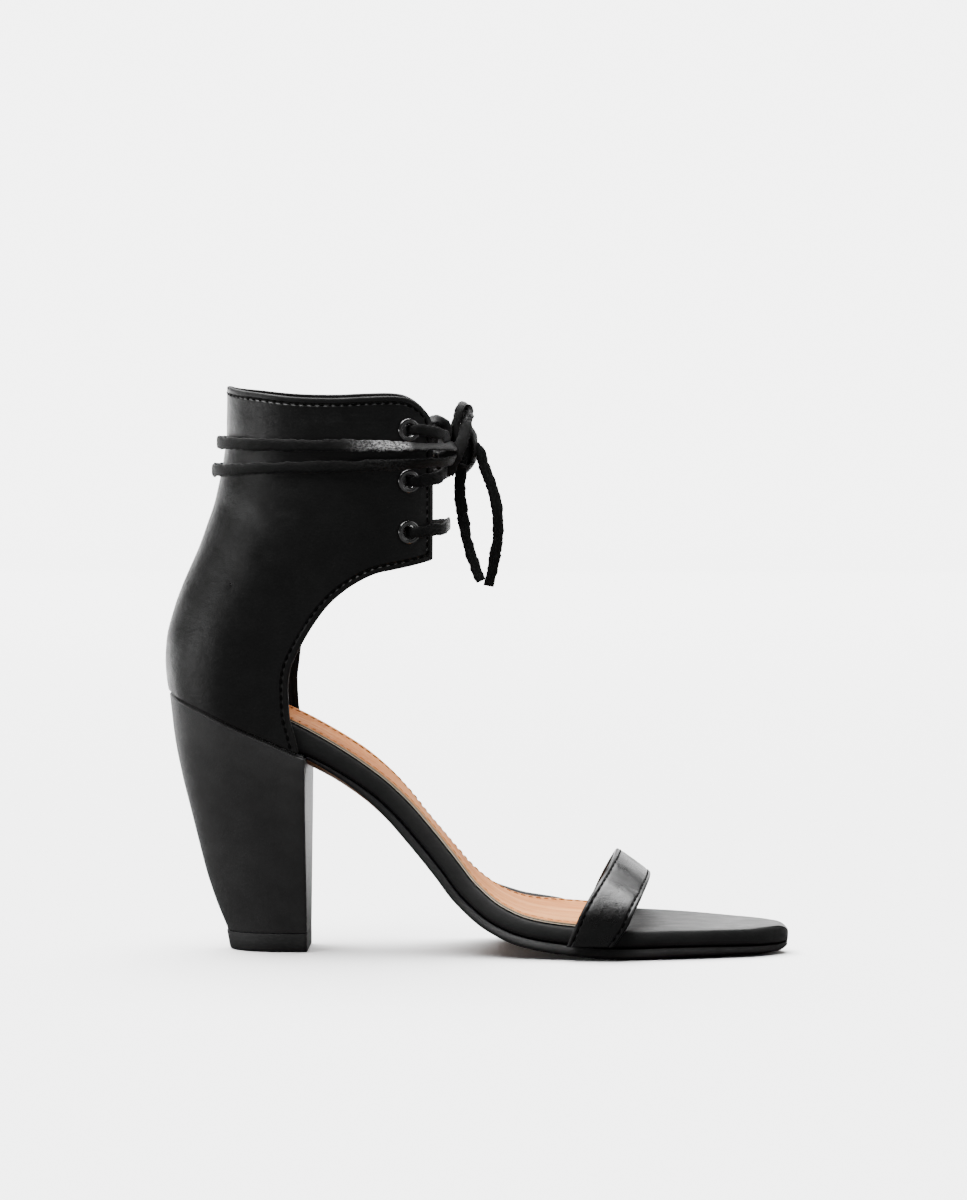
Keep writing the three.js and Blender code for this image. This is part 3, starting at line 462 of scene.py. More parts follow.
# Ankle wraps.
# The same lace, taken twice round the cuff under its rim, and twisted at the front of the flaps.
WRAPS = {
    "ankle_wrap_upper": {
        "back": 0.019, "side": 0.0194, "front": 0.0202, "stand": 0.0013, "rub": 0.8, "seed": 17,
        "twist": [(-1, 30), (-0.86, 40), (-0.78, 62), (-0.7, 58), (-0.6, 25), (-0.45, 0), (1, 0)],
    },
    "ankle_wrap_lower": {
        "back": 0.0292, "side": 0.027, "front": 0.0252, "stand": 0.0015, "rub": 0.05, "seed": 16,
        "twist": [(-1, -20), (-0.85, -30), (-0.75, -45), (-0.65, -20), (-0.5, 0), (1, 0)],
    },
}
for name, wrap in WRAPS.items():
    around = np.linspace(-0.985, 0.985, 240)
    share = abs(around)
    drop = wrap["back"] + (wrap["side"] - wrap["back"]) * smoothstep(share, 0, 0.45)
    drop = drop + (wrap["front"] - wrap["side"]) * smoothstep(share, 0.45, 0.9)
    out_by = 0.00145 + wrap["stand"] * (1 - smoothstep(share, 0, 0.4))
    out_by = out_by + 0.0033 * smoothstep(share, EYELET_ROUNDS[0] - 0.2, EYELET_ROUNDS[0] - 0.02)
    point, out = beside_cuff(around, RIM_HEIGHT - drop, out_by)
    ahead = point[:, 0] - LACE_FRONT - 0.0023
    point[:, 0] = LACE_FRONT + 0.0023 + (ahead - np.hypot(ahead, BRIDGE_ROUND)) / 2
    line = through(np.hstack([point, out, around[:, None]]), 0.0007)
    keys, turns = zip(*wrap["twist"])
    twist = np.radians(np.interp(line[:, 6], keys, turns))
    twist = np.convolve(np.pad(twist, 9, "edge"), np.hanning(19) / np.hanning(19).sum(), "valid")[:, None]
    facing = line[:, 3:6] * np.cos(twist) + np.array([0, 0, 1]) * np.sin(twist)
    seen_x, seen_side = line[:, 0] - SHIFT[0], line[:, 6] < 0
    # Painted highlight over scuffed fibres where the upper wrap twists on the inner side; the lower wrap
    # gets only a trace.
    rub = smoothstep(seen_x, -0.047, -0.031) * (1 - smoothstep(seen_x, -0.025, -0.021)) * seen_side
    band = ribbon(name + "_strip", line[:, :3] - SHIFT, facing, seed=wrap["seed"], rub=rub * wrap["rub"])
    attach(band, "root")
    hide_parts(name)

# Knot.
# The two strands of the lace pass over each other and are pulled tight in front of the throat. It is
# made of short turns of the same strip.
KNOT_TURNS = {
    "over": [(-19, -16.6, 178.2), (-15.4, -14.8, 178.4), (-12.6, -12.4, 180.2), (-10.9, -10.6, 183),
             (-10.6, -10, 186), (-12, -10.6, 188.8), (-14.6, -12, 190), (-16.6, -13.6, 189)],
    "behind": [(-12.6, -9.4, 190), (-13.2, -9.2, 185), (-13.4, -9, 180), (-13.6, -8.6, 175.6),
               (-13.8, -8.2, 172.2)],
    "under": [(-10.6, -7.4, 188), (-10.8, -7.4, 184), (-11.2, -7.6, 179), (-11.6, -7.6, 175),
              (-11.8, -7.4, 171.6)],
    "low": [(-17.4, -11.6, 172.4), (-15.6, -10.4, 173.2), (-13.6, -9, 173.8), (-11.4, -7.8, 174.4)],
    "between": [(-4, -2.2, 187.4), (-2.4, -2.2, 184), (-1.7, -2.2, 180), (-1.8, -2.2, 176),
                (-3, -2.2, 172.6)],
    "across": [(-13, -15.5, 176), (-9.5, -12.5, 177.5), (-6.3, -9, 180), (-3.6, -4.5, 182.6), (-3, 0, 182),
               (-4, 4, 180), (-7, 9, 178.6)],
    "front": [(-6.4, 3, 176.4), (-3.2, 0.5, 174.4), (-2.2, -3.2, 173), (-3.4, -6.2, 172),
              (-6.6, -8.4, 172.6), (-9.4, -7.6, 175)],
    "right": [(-5.6, -3.5, 184.4), (-3.4, -4, 186.6), (-1.6, -4, 185.4), (-0.6, -3.6, 181.6),
              (-0.5, -3.2, 177.6), (-1.6, -3, 174), (-3.8, -3, 171.4), (-5, -3, 170.6)],
    "core": [(-6.8, 1.5, 183.6), (-4.4, -1.4, 184), (-3.6, -4.4, 181), (-3.6, -5.4, 176.6),
             (-4.8, -4.4, 172.8), (-6.6, -1.5, 171.8)],
}
KNOT_MIDDLE = np.array([-0.0095, 0, 0.18])
knot_parts = []
for turn, (name, places) in enumerate(KNOT_TURNS.items()):
    line = through(np.array(places) / 1000)
    facing = unit(line - KNOT_MIDDLE)
    along = np.linspace(0, 1, len(line))
    # Painted highlight over scuffed fibres on the bend of the over turn and along the under turn.
    paler_share = {"over": 0.5 * np.exp(-(((along - 0.2) / 0.12) ** 2)), "under": 0.25}.get(name, 0.0)
    knot_parts.append(ribbon("knot_" + name, line, facing, seed=20 + turn, rub=paler_share))
bpy.ops.object.select_all(action="DESELECT")
for part in knot_parts:
    part.select_set(True)
bpy.context.view_layer.objects.active = knot_parts[0]
bpy.ops.object.join()
knot = knot_parts[0]
knot.name = knot.data.name = "knot"
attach(knot, "root")
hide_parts("lace_knot")

# Bow loop and lace ends.
# Free lengths of the lace: a loop that stands up from the knot and comes down to a short cut end, and
# two long ends that hang in front of the throat.
BOW = [(-7.6, -7, 178.5), (-7.7, -7.4, 184), (-6.9, -7.6, 189.6), (-5.4, -7.4, 194.2), (-4.2, -6.6, 195.3),
       (-3.2, -6.6, 193.6), (-3.4, -8.2, 189), (-4.2, -9.4, 184), (-6, -10.2, 178.4), (-8.2, -10.6, 173.6),
       (-9.9, -10.4, 170.4)]
BOW_FACING = [(-0.6, -1, 0), (-0.6, -1, 0), (-0.6, -1, 0.1), (-0.5, -0.8, 0.6), (0, -0.4, 1),
              (0.3, 0.8, 0.4), (0.25, 1, 0), (0.2, 1, 0), (-0.1, 1, 0), (-0.2, 1, 0), (-0.2, 1, 0)]
INNER_END = [(106, 169.7), (105.8, 163), (106.6, 156), (108, 148), (110, 140.4), (112, 134.8), (113.2, 132)]
OUTER_END = [(112.8, 177.6), (113.7, 174.4), (115.4, 169.6), (117.6, 163.6), (119, 157), (119.2, 150),
             (118.5, 142.8), (117.2, 136.4), (115.9, 130)]


def free_lace(name, node, rows, seed, rub_and_highlight_at=-1.0):
    """A free length of lace. rows hold the places and the ways it faces."""
    line = through(rows)
    path, facing = line[:, :3], line[:, 3:]
    along = np.linspace(0, 1, len(path))
    # Painted highlight over scuffed fibres around the given place along the length.
    lace = ribbon(name, path, facing, seed=seed, rub=0.6 * np.exp(-(((along - rub_and_highlight_at) / 0.06) ** 2)))
    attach(lace, "root")
    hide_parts(node)


def end_rows(first, places, across, facing):
    """The rows of an end: its first place in the knot, then places of the side view in millimetres."""
    return np.array([first, *(
        [x / 1000 - SHIFT[0], across - SHIFT[1], z / 1000 - SHIFT[2], facing(i), -1, 0]
        for i, (x, z) in enumerate(places)
    )])


bow_rows = np.hstack([np.array(BOW) / 1000, unit(BOW_FACING)])
free_lace("bow_loop", "lace_bow_loop", bow_rows, 41, rub_and_highlight_at=0.49)
inner_rows = end_rows([-0.0052, -0.0074, 0.1752, 0, -1, 0], INNER_END, -0.006, lambda i: 0.12 * i)
free_lace("end_inner_strip", "lace_end_inner", inner_rows, 42)
outer_rows = end_rows([-0.0028, -0.0034, 0.1815, 0.6, -1, 0], OUTER_END, -0.001, lambda i: 0.5 - 0.05 * i)
free_lace("end_outer_strip", "lace_end_outer", outer_rows, 43)

# Footbed.
# Insole board and padding wrapped in black leather, pulled down over the side, which shows as the
# thick rand. Cemented to the outsole and the heel seat.
BALL_WIDTH = 0.080
SEAT_WIDTH = 0.0482
TOE_ROUND = 0.015
RAND = 0.0065
OUTSOLE = 0.0043
SHOULDER = 0.001
UNDER_ROUND = 0.0016
SEWN_INSET = 0.0024
MEET_GAP = 0.0003
STAND = RAND + OUTSOLE
SECTIONS = {
    "along": [0.0155, 0.0696, 0.1342, 0.2098, 0.253, 0.3037, 0.3549, 0.3927, 0.4322, 0.4712, 0.4998, 0.5432,
              0.5844, 0.6256, 0.6632, 0.7165, 0.7658, 0.8061, 0.8599, 0.9091, 0.967, 1],
    "rise": [0.999, 0.943, 0.87, 0.788, 0.732, 0.656, 0.565, 0.479, 0.369, 0.252, 0.164, 0.078, 0.036,
             0.018, 0.009, 0, -0.002, -0.001, -0.0025, -0.0047, -0.0065, -0.008],
    "middle": [0, 0, 0, 0.001, 0.003, 0.005, 0.008, 0.012, 0.016, 0.02, 0.023, 0.031, 0.035, 0.035, 0.031,
               0.015, -0.003, -0.022, -0.042, -0.061, -0.084, -0.1],
    "half": [0.303, 0.303, 0.302, 0.291, 0.285, 0.281, 0.283, 0.29, 0.31, 0.341, 0.367, 0.419, 0.46, 0.484,
             0.494, 0.491, 0.452, 0.409, 0.347, 0.276, 0.19, 0.13],
    "rand": [1.426, 1.438, 1.438, 1.415, 1.22, 1.11, 1.04, 1.01, 1, 0.988, 1.011, 1.02, 1, 0.99, 1, 1, 1,
             0.99, 0.98, 0.99, 1, 1],
    "edge": [0.167, 0.167, 0.167, 0.167, 0.251, 0.419, 0.653, 0.753, 0.795, 0.795, 0.795, 0.85, 0.92, 0.97,
             1, 1, 0.99, 0.92, 0.84, 0.76, 0.68, 0.62],
    "belly": [0.67, 0.67, 0.67, 0.7, 0.8, 0.62, 0.35, 0.16, 0.05, 0.033, 0.025, 0.017, 0, 0, 0, 0, 0, 0,
              0, 0, 0, 0],
    "cup": [0.377, 0.377, 0.352, 0.318, 0.285, 0.251, 0.234, 0.226, 0.226, 0.234, 0.234, 0.218, 0.201,
            0.184, 0.167, 0.134, 0.084, 0.05, 0.017, 0, 0, 0],
    "tilt": [0, 0, 0, 0, 0, 0, 0.01, 0.024, 0.038, 0.036, 0.028, 0.016, 0.006, 0, 0, 0, 0, 0, 0, 0, 0, 0],
}


def section_at(x):
    """The footbed's own section at places along the shoe, a dictionary of arrays."""
    x = np.atleast_1d(np.asarray(x, float))
    share, step = x / SHOE_LENGTH, 0.004
    fall = HEEL_HEIGHT * (column(SECTIONS, "rise", share - step) - column(SECTIONS, "rise", share + step))
    heel = round_end(x - SECTIONS["along"][0] * SHOE_LENGTH, SEAT_ROUND, OVAL)
    tip = round_end(SHOE_LENGTH - x, TOE_ROUND, 2)
    slope = np.arctan2(fall, SHOE_LENGTH * 2 * step)
    square = smoothstep(share, 0.16, 0.31)
    lean = slope * square
    seat = (SEAT_WIDTH / BALL_WIDTH / (2 * SECTIONS["half"][0])) ** (1 - square)
    return {
        "x": x,
        "z": STAND + HEEL_HEIGHT * column(SECTIONS, "rise", share),
        "middle": BALL_WIDTH * column(SECTIONS, "middle", share),
        "half": BALL_WIDTH * column(SECTIONS, "half", share) * seat * heel * tip,
        "rand": RAND * column(SECTIONS, "rand", share) / np.cos(slope - lean),
        "edge": OUTSOLE * column(SECTIONS, "edge", share),
        "belly": OUTSOLE * column(SECTIONS, "belly", share),
        "cup": OUTSOLE * column(SECTIONS, "cup", share) * np.minimum(heel, tip),
        "tilt": HEEL_HEIGHT * column(SECTIONS, "tilt", share),
        "up_x": np.sin(lean),
        "up_z": np.cos(lean),
    }


def on_section(s, y, up):
    """Places on a section, whose outer side hangs a little lower at the waist."""
    outer = np.clip(y / np.maximum(s["half"], 1e-6), 0, 1) ** 1.5
    up = up - s["tilt"] * outer * np.clip(1 + up / (s["rand"] + s["edge"]), 0, 1)
    return np.stack([s["x"] + s["up_x"] * up, s["middle"] + y, s["z"] + s["up_z"] * up], axis=-1)


def stations(start, end, count):
    """Places along the shoe, closer together towards both ends."""
    return start + (end - start) * (1 - np.cos(np.pi * np.arange(count + 1) / count)) / 2


def rounded(rings):
    """Closed rings with their corners cut twice."""
    for _ in range(2):
        after = np.roll(rings, -1, axis=1)
        rings = np.stack([0.75 * rings + 0.25 * after, 0.25 * rings + 0.75 * after], axis=2)
        rings = rings.reshape(rings.shape[0], -1, rings.shape[3])
    return rings


def body(name, rings, material, **numbers):
    count, around = rings.shape[:2]
    points = rings.reshape(-1, 3) - SHIFT
    return made(name, points, outward(points, skin_faces(count, around)), [material], **numbers)


def black_leather(name, grain=0.0006, wrinkle=0.6, base=0.004, rough=0.34):
    """Smooth black calf with a fine grain, soft creases and a stitched groove where an edge is given, the
    groove darkened with painted shade.
    """
    f = Finish(name)
    edge = f.number("edge")
    groove = abs(edge - SEWN_INSET).step(0.0007, 0.0001)
    grown = f.noise(0.012, 2, 0.5)
    cells = f.cells(grain, where=f.stretched(1, 1, 1.25))
    pores = f.noise(0.00035, 3, 0.65)
    soft = f.noise(0.006, 3, 0.55)
    broad = f.noise(0.03, 2, 0.5)
    folds = f.noise(0.0024, 4, 0.62, f.stretched(0.7, 0.7, 1.6))
    lit = f.mix(broad.step(0.35, 0.75), grey(base), grey(base * 1.8))
    lit = f.mix(pores.step(0.5, 0.75) * 0.5, lit, grey(base * 3.2))
    # Painted shade: the groove is painted darker.
    lit = f.mix(groove * 0.6, lit, grey(0.0015))
    lit = f.mix(edge.step(0.0009, 0.0002) * 0.8, lit, grey(0.0015))
    roughness = rough + (soft - 0.5) * 0.2 + (grown - 0.5) * 0.2 + pores * 0.08 + groove * 0.3
    roughness = roughness + edge.step(0.0012, 0.0002) * 0.4 + f.number("dull") * 0.38
    height = (cells.step(0.0, 0.22) * 0.075 + pores * 0.11 + folds * 0.8 * wrinkle + soft * 1.9 * wrinkle
              - groove * 1.6)
    return f.done(lit, roughness, height, 0.00024, specular=0.32)


def nosed(rings, x):
    """Rings whose height closes in to a blunt nose at the tip of the toe."""
    middle = 0.0052
    left = 1 - np.clip((SHOE_LENGTH - x) / 0.0046, 0, 1)
    full = (0.22 + 0.78 * np.sqrt(1 - left**2))[:, None]
    rings = rings.copy()
    rings[:, :, 2] = middle + (rings[:, :, 2] - middle) * full
    return rings


def footbed_side(s, sign):
    return [
        on_section(s, sign * np.maximum(y, s["half"] * 0.6), up) for y, up in [
            (s["half"] - UNDER_ROUND, -s["rand"]),
            (s["half"] - UNDER_ROUND * 0.22, -s["rand"] + UNDER_ROUND * 0.55),
            (s["half"], -s["rand"] * 0.5),
            (s["half"] - SHOULDER * 0.3, -SHOULDER + 0 * s["x"]),
            (s["half"] - SHOULDER, -SHOULDER * 0.25 + 0 * s["x"]),
        ]
    ]


SOCK_INSET = 0.0011
FOOTBED_START = SECTIONS["along"][0] * SHOE_LENGTH + MEET_GAP
FOOTBED_TIP = SHOE_LENGTH - MEET_GAP
bed = section_at(stations(FOOTBED_START, FOOTBED_TIP, 200))


def far_rim(x):
    """How much wider the bare wrapped edge is on the outer side of the ball, from 0 to 1."""
    return smoothstep(x, 0.112, 0.124) * (1 - smoothstep(x, 0.131, 0.15))


def sock_inset(x, outer):
    return SOCK_INSET + 0.0022 * far_rim(x) * outer


rim_from = bed["half"] - sock_inset(bed["x"], 1) - 0.0001
bed_top = [on_section(bed, share * bed["half"], -bed["cup"] * (1 - share * share))
           for share in (0.82, 0.66, 0.5, 0.25, 0, -0.25, -0.5, -0.66, -0.82, -0.9)]
bed_top.insert(0, on_section(bed, np.maximum(rim_from, bed["half"] * 0.83), -bed["cup"] * 0.1))
bed_rings = np.stack([*footbed_side(bed, 1), *bed_top, *footbed_side(bed, -1)[::-1]], axis=1)
# The wrapped edge stands a little above the sock on the outer side of the waist and the ball.
bead = 0.0014 * smoothstep(bed["x"], 0.062, 0.075) * (1 - smoothstep(bed["x"], 0.14, 0.152))
bed_rings[:, 3, 2] += bead + 0.0009 * far_rim(bed["x"])
bed_rings[:, 4, 2] += bead + 0.0013 * far_rim(bed["x"])
bed_rings = nosed(rounded(bed_rings), bed["x"])
footbed = body("footbed_wrapped", bed_rings, black_leather("footbed_leather", wrinkle=0.4, base=0.009),
               edge=np.full(bed_rings.shape[0] * bed_rings.shape[1], 1.0),
               dull=np.repeat(1 - smoothstep(bed["x"], 0.165, 0.208), bed_rings.shape[1]))
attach(footbed, "root")
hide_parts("footbed")

# Outsole.
# Thin leather sole with a black burnished edge in fine lines. Its underside is natural tan, rounded
# into a belly at the waist that ends at the heel breast.
BREAST = 0.0514
OUTSOLE_INSET = 0.0007
TREAD_INSET = 0.0016


def sole_finish():
    f = Finish("outsole_leather")
    under = f.number("under")
    lines = f.number("line")
    waves = (lines * 9.0).math("FRACT")
    fibre = f.noise(0.0006, 4, 0.6, f.stretched(0.25, 1, 1))
    patch = f.noise(0.012, 3, 0.5)
    tan = f.mix(patch.step(0.3, 0.7), (0.42, 0.17, 0.07, 1), (0.5, 0.24, 0.12, 1))
    # The edge's fine lines are raised in the bump and painted lighter, a painted highlight along each line.
    black = f.mix(waves.step(0.55, 0.95) * 0.5, grey(0.01), grey(0.05))
    colour = f.mix(under.step(0.5, 0.62), black, tan)
    height = waves.step(0.2, 0.9) * (1 - under.step(0.5, 0.62)) * 0.8 + fibre * 0.4
    return f.done(colour, 0.42 + fibre * 0.2, height, 0.00018, coat=0.1)


def outsole_rings(s):
    top = -s["rand"] - 0.00005
    edge_half = np.maximum(s["half"] - OUTSOLE_INSET, s["half"] * 0.8)
    tread_half = np.maximum(s["half"] - OUTSOLE_INSET - TREAD_INSET, s["half"] * 0.7)
    bevel = 0.0004

    def side(sign):
        return [on_section(s, sign * y, up) for y, up in [
            (edge_half - bevel, top),
            (edge_half, top - 0.2 * s["edge"]),
            (edge_half, top - 0.45 * s["edge"]),
            (edge_half - bevel * 0.6, top - 0.75 * s["edge"]),
            (tread_half, top - s["edge"] - s["belly"] * 0.15),
        ]]

    belly = [on_section(s, share * s["half"], top - s["edge"] - s["belly"] * (1 - share * share))
             for share in (0.62, 0.4, 0.2, 0, -0.2, -0.4, -0.62)]
    return np.stack([*side(1), *belly, *side(-1)[::-1]], axis=1)


sole_x = stations(BREAST - 0.009, SHOE_LENGTH - 0.0005, 180)
sole = section_at(sole_x)
sole_rings = outsole_rings(sole)
marks = np.array([0, 0.1, 0.4, 0.7, 1.0] + [1] * 7 + [1.0, 0.7, 0.4, 0.1, 0])
under = np.array([0, 0, 0, 0, 0] + [1] * 7 + [0, 0, 0, 0, 0])[None] + np.zeros((len(sole_x), 1))
under[:, [4, 12]] = (1 - smoothstep(sole_x, 0.082, 0.1))[:, None]
carried = np.concatenate([
    sole_rings,
    np.broadcast_to(marks[None, :, None], (*sole_rings.shape[:2], 1)),
    under[:, :, None],
], axis=2)
carried = rounded(carried)
carried[:, :, :3] = nosed(carried[:, :, :3], sole_x)
carried[:, :, 2] = np.maximum(carried[:, :, 2], 0)
carried[:, :, 0] = np.maximum(carried[:, :, 0], BREAST + MEET_GAP)
outsole = body("outsole_cut", carried[:, :, :3], sole_finish(), line=carried[:, :, 3].ravel(),
               under=carried[:, :, 4].ravel())
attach(outsole, "root")
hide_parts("outsole")

# Insole sock.
# Thin tan leather cemented on the footbed from the heel to the ball, with a row of stitches near its
# edge. It carries no print.
SOCK_THICK = 0.0012
SOCK_END = 0.158


def sock_finish():
    f = Finish("sock_leather")
    side = f.number("side")
    along = f.number("along")
    streaks = f.noise(0.0012, 4, 0.6, f.stretched(0.12, 1, 1))
    bands = f.noise(0.005, 2, 0.5, f.stretched(0.06, 0.7, 0.2))
    blotch = f.noise(0.016, 3, 0.55)
    pores = f.noise(0.0004, 3, 0.6)
    base = f.mix(blotch.step(0.3, 0.75), (0.35, 0.125, 0.034, 1), (0.41, 0.155, 0.048, 1))
    base = f.mix(along.step(0.125, 0.05) * 0.8, base, (0.35, 0.105, 0.022, 1))
    base = f.mix(streaks.step(0.45, 0.72) * 0.5, base, (0.5, 0.26, 0.12, 1))
    base = f.mix(streaks.step(0.44, 0.26) * 0.45, base, (0.2, 0.075, 0.025, 1))
    base = f.mix(bands.step(0.5, 0.72) * 0.42, base, (0.56, 0.27, 0.11, 1))
    base = f.mix(bands.step(0.5, 0.3) * 0.42, base, (0.24, 0.075, 0.018, 1))
    # Its cut side shows the pale flesh of the leather in two bands, with a thin dark band between them.
    base = f.mix(side.step(0.95, 0.86), base, (0.75, 0.6, 0.42, 1))
    base = f.mix(side.step(0.7, 0.62) * 0.95, base, grey(0.008))
    base = f.mix(side.step(0.4, 0.34), base, (0.8, 0.68, 0.54, 1))
    height = streaks * 0.5 + pores * 0.35
    return f.done(base, 0.6 + pores * 0.15, height, 0.00012, specular=0.04)


sock_x = stations(FOOTBED_START + SOCK_INSET, SOCK_END, 150)
sock = section_at(sock_x)
sock_shares = np.sin(np.linspace(-np.pi / 2, np.pi / 2, 25))
sock_rows, sock_side = [], []
for lift in (MEET_GAP, MEET_GAP + SOCK_THICK):
    for share in sock_shares if lift == MEET_GAP else sock_shares[::-1]:
        sock_half = np.maximum(sock["half"] - sock_inset(sock_x, share > 0), sock["half"] * 0.7)
        inside = (1 - abs(share)) * sock_half
        over = lift if lift == MEET_GAP else lift - 0.0003 * (inside < 0.0004)
        reach = share * sock_half
        deep = sock["cup"] * (1 - (reach / sock["half"]) ** 2)
        sock_rows.append(on_section(sock, reach, over - deep))
        sock_side.append(np.full(len(sock_x), float(lift > MEET_GAP)))
sock_rings = np.stack(sock_rows, axis=1)
sock_piece = body("insole_sock_laid", sock_rings, sock_finish(), side=np.stack(sock_side, 1).ravel(),
                  along=np.repeat(sock_x, sock_rings.shape[1]))
sock_piece.data.set_sharp_from_angle(angle=math.radians(50))
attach(sock_piece, "root")
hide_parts("insole_sock")

# Stitches of the sock.
# Tan thread, sewn through sock and footbed along both edges, paler and finer on the inner one.


def stitch_tree():
    """Puts a stitch on each point, along the point's own direction and standing out of the leather."""
    tree = bpy.data.node_groups.new("stitches", "GeometryNodeTree")
    tree.interface.new_socket("Geometry", in_out="INPUT", socket_type="NodeSocketGeometry")
    for name in ("Length", "Width", "Height"):
        tree.interface.new_socket(name, in_out="INPUT", socket_type="NodeSocketFloat")
    tree.interface.new_socket("Seed", in_out="INPUT", socket_type="NodeSocketInt")
    tree.interface.new_socket("Thread", in_out="INPUT", socket_type="NodeSocketMaterial")
    tree.interface.new_socket("Geometry", in_out="OUTPUT", socket_type="NodeSocketGeometry")
    new, link = tree.nodes.new, tree.links.new
    given, result = new("NodeGroupInput"), new("NodeGroupOutput")
    ways = []
    for name in ("along", "out"):
        way = new("GeometryNodeInputNamedAttribute")
        way.data_type = "FLOAT_VECTOR"
        way.inputs["Name"].default_value = name
        ways.append(way)
    turn = new("FunctionNodeAxesToRotation")
    turn.primary_axis, turn.secondary_axis = "Z", "X"
    link(ways[1].outputs[0], turn.inputs[0])
    link(ways[0].outputs[0], turn.inputs[1])
    grain = new("GeometryNodeMeshUVSphere")
    grain.inputs["Segments"].default_value = 8
    grain.inputs["Rings"].default_value = 8
    grain.inputs["Radius"].default_value = 0.5
    size = new("ShaderNodeCombineXYZ")
    for k, name in enumerate(("Length", "Width", "Height")):
        link(given.outputs[name], size.inputs[k])
    shape = new("GeometryNodeTransform")
    link(grain.outputs["Mesh"], shape.inputs["Geometry"])
    link(size.outputs[0], shape.inputs["Scale"])
    luck = new("FunctionNodeRandomValue")
    luck.data_type = "FLOAT"
    low, high = [s for s in luck.inputs if s.type == "VALUE"][:2]
    low.default_value, high.default_value = 0.88, 1.1
    link(given.outputs["Seed"], luck.inputs["Seed"])
    put = new("GeometryNodeInstanceOnPoints")
    link(given.outputs["Geometry"], put.inputs["Points"])
    link(shape.outputs["Geometry"], put.inputs["Instance"])
    link(turn.outputs[0], put.inputs["Rotation"])
    link([s for s in luck.outputs if s.type == "VALUE"][0], put.inputs["Scale"])
    real = new("GeometryNodeRealizeInstances")
    link(put.outputs[0], real.inputs[0])
    painted = new("GeometryNodeSetMaterial")
    link(real.outputs[0], painted.inputs["Geometry"])
    link(given.outputs["Thread"], painted.inputs["Material"])
    link(painted.outputs[0], result.inputs["Geometry"])
    return tree


STITCHES = stitch_tree()


def thread(name, colour, rough):
    f = Finish(name)
    twist = f.noise(0.00035, 2, 0.5)
    darker = tuple(0.6 * c for c in colour[:3]) + (1,)
    return f.done(f.mix(twist.step(0.3, 0.7), colour, darker), rough, twist, 0.0001, specular=0.08)


STITCH_PITCH = 0.0029
STITCH_LENGTH = 0.0023


def stitch_row(name, rows, material, width=0.00055, seed=1):
    """Stitches along a line given by places and the ways out of the leather."""
    line = through(rows, STITCH_PITCH)
    ways = unit(np.gradient(line[:, :3], axis=0))
    mesh = bpy.data.meshes.new(name)
    mesh.from_pydata([tuple(p) for p in line[:, :3]], [], [])
    for key, values in (("along", ways), ("out", unit(line[:, 3:6]))):
        mesh.attributes.new(key, "FLOAT_VECTOR", "POINT").data.foreach_set("vector", values.ravel())
    thing = bpy.data.objects.new(name, mesh)
    bpy.context.scene.collection.objects.link(thing)
    grown = thing.modifiers.new("stitches", "NODES")
    grown.node_group = STITCHES
    sockets = {s.name: s.identifier for s in STITCHES.interface.items_tree if s.in_out == "INPUT"}
    given = {"Length": STITCH_LENGTH, "Width": width, "Height": width, "Seed": seed, "Thread": material}
    for key, value in given.items():
        grown[sockets[key]] = value
    bpy.context.view_layer.update()
    plain = bpy.data.meshes.new_from_object(thing.evaluated_get(bpy.context.evaluated_depsgraph_get()))
    thing.modifiers.clear()
    thing.data = plain
    plain.polygons.foreach_set("use_smooth", np.ones(len(plain.polygons), bool))
    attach(thing, "root")
    return thing


sock_threads = {"outer": thread("sock_thread", (0.3, 0.11, 0.035, 1), 0.55),
                "inner": thread("sock_thread_pale", (0.42, 0.16, 0.05, 1), 0.55)}
row_s = section_at(np.linspace(0.03, 0.15, 80))
for side, label in ((1, "outer"), (-1, "inner")):
    reach = side * (row_s["half"] - sock_inset(row_s["x"], side > 0) - (0.0048 if side > 0 else 0.0018))
    deep = row_s["cup"] * (1 - (reach / row_s["half"]) ** 2)
    places = on_section(row_s, reach, MEET_GAP + SOCK_THICK + 0.00005 - deep) - SHIFT
    ways = np.stack([row_s["up_x"], 0 * reach, row_s["up_z"]], axis=1)
    row = stitch_row("sock_stitches_" + label, np.hstack([places, ways]), sock_threads[label],
                     width=0.0008 if side > 0 else 0.0004)

# Heel block.
# A block in the shape of a D, wrapped in black leather that is pulled to a sharp breast. It is set
# under the seat and tapers down to the top lift.
LIFT_WIDTH = 0.029
LIFT_DEPTH = 0.0282
LIFT_HEIGHT = 0.0063
LIFT_BACK = BREAST - LIFT_DEPTH
HEEL_LEVELS = {
    "up": [1.06, 0.99, 0.84, 0.68, 0.55, 0.42, 0.3, 0.2, 0.0725],
    "back": [0.004, 0.0075, 0.0145, 0.027, 0.04, 0.053, 0.0655, 0.0788, 0.0994],
    "tilt": [1, 0.96, 0.74, 0.5, 0.34, 0.2, 0.1, 0.03, 0],
    "half": [1, 1, 0.955, 0.83, 0.68, 0.5, 0.33, 0.18, 0],
}
BREAST_ROUND = 0.0007
LIFT_LEVEL = HEEL_LEVELS["up"][-1]


def heel_outline(depth, half):
    """The D of a level: from the back line over the outer side to the breast and back."""
    depth, half = np.atleast_1d(depth), np.atleast_1d(half)
    rounding = np.minimum(depth * 0.72, SEAT_ROUND * 1.07)
    rows = []
    for share in np.linspace(0, 1, 34):
        u = (depth - BREAST_ROUND) * (1 - np.cos(np.pi / 2 * share))
        rows.append((u, half * round_end(u, rounding, OVAL)))
    for turn in np.linspace(0, np.pi / 2, 6)[1:]:
        rows.append((depth - BREAST_ROUND * (1 - np.sin(turn)), half - BREAST_ROUND * (1 - np.cos(turn))))
    for share in np.linspace(1, 0, 9)[1:]:
        rows.append((depth, share * (half - BREAST_ROUND)))
    near = np.array([[u + 0 * depth, y + 0 * depth] for u, y in rows])
    far = near[1:-1][::-1] * np.array([1, -1])[None, :, None]
    return np.concatenate([near, far])


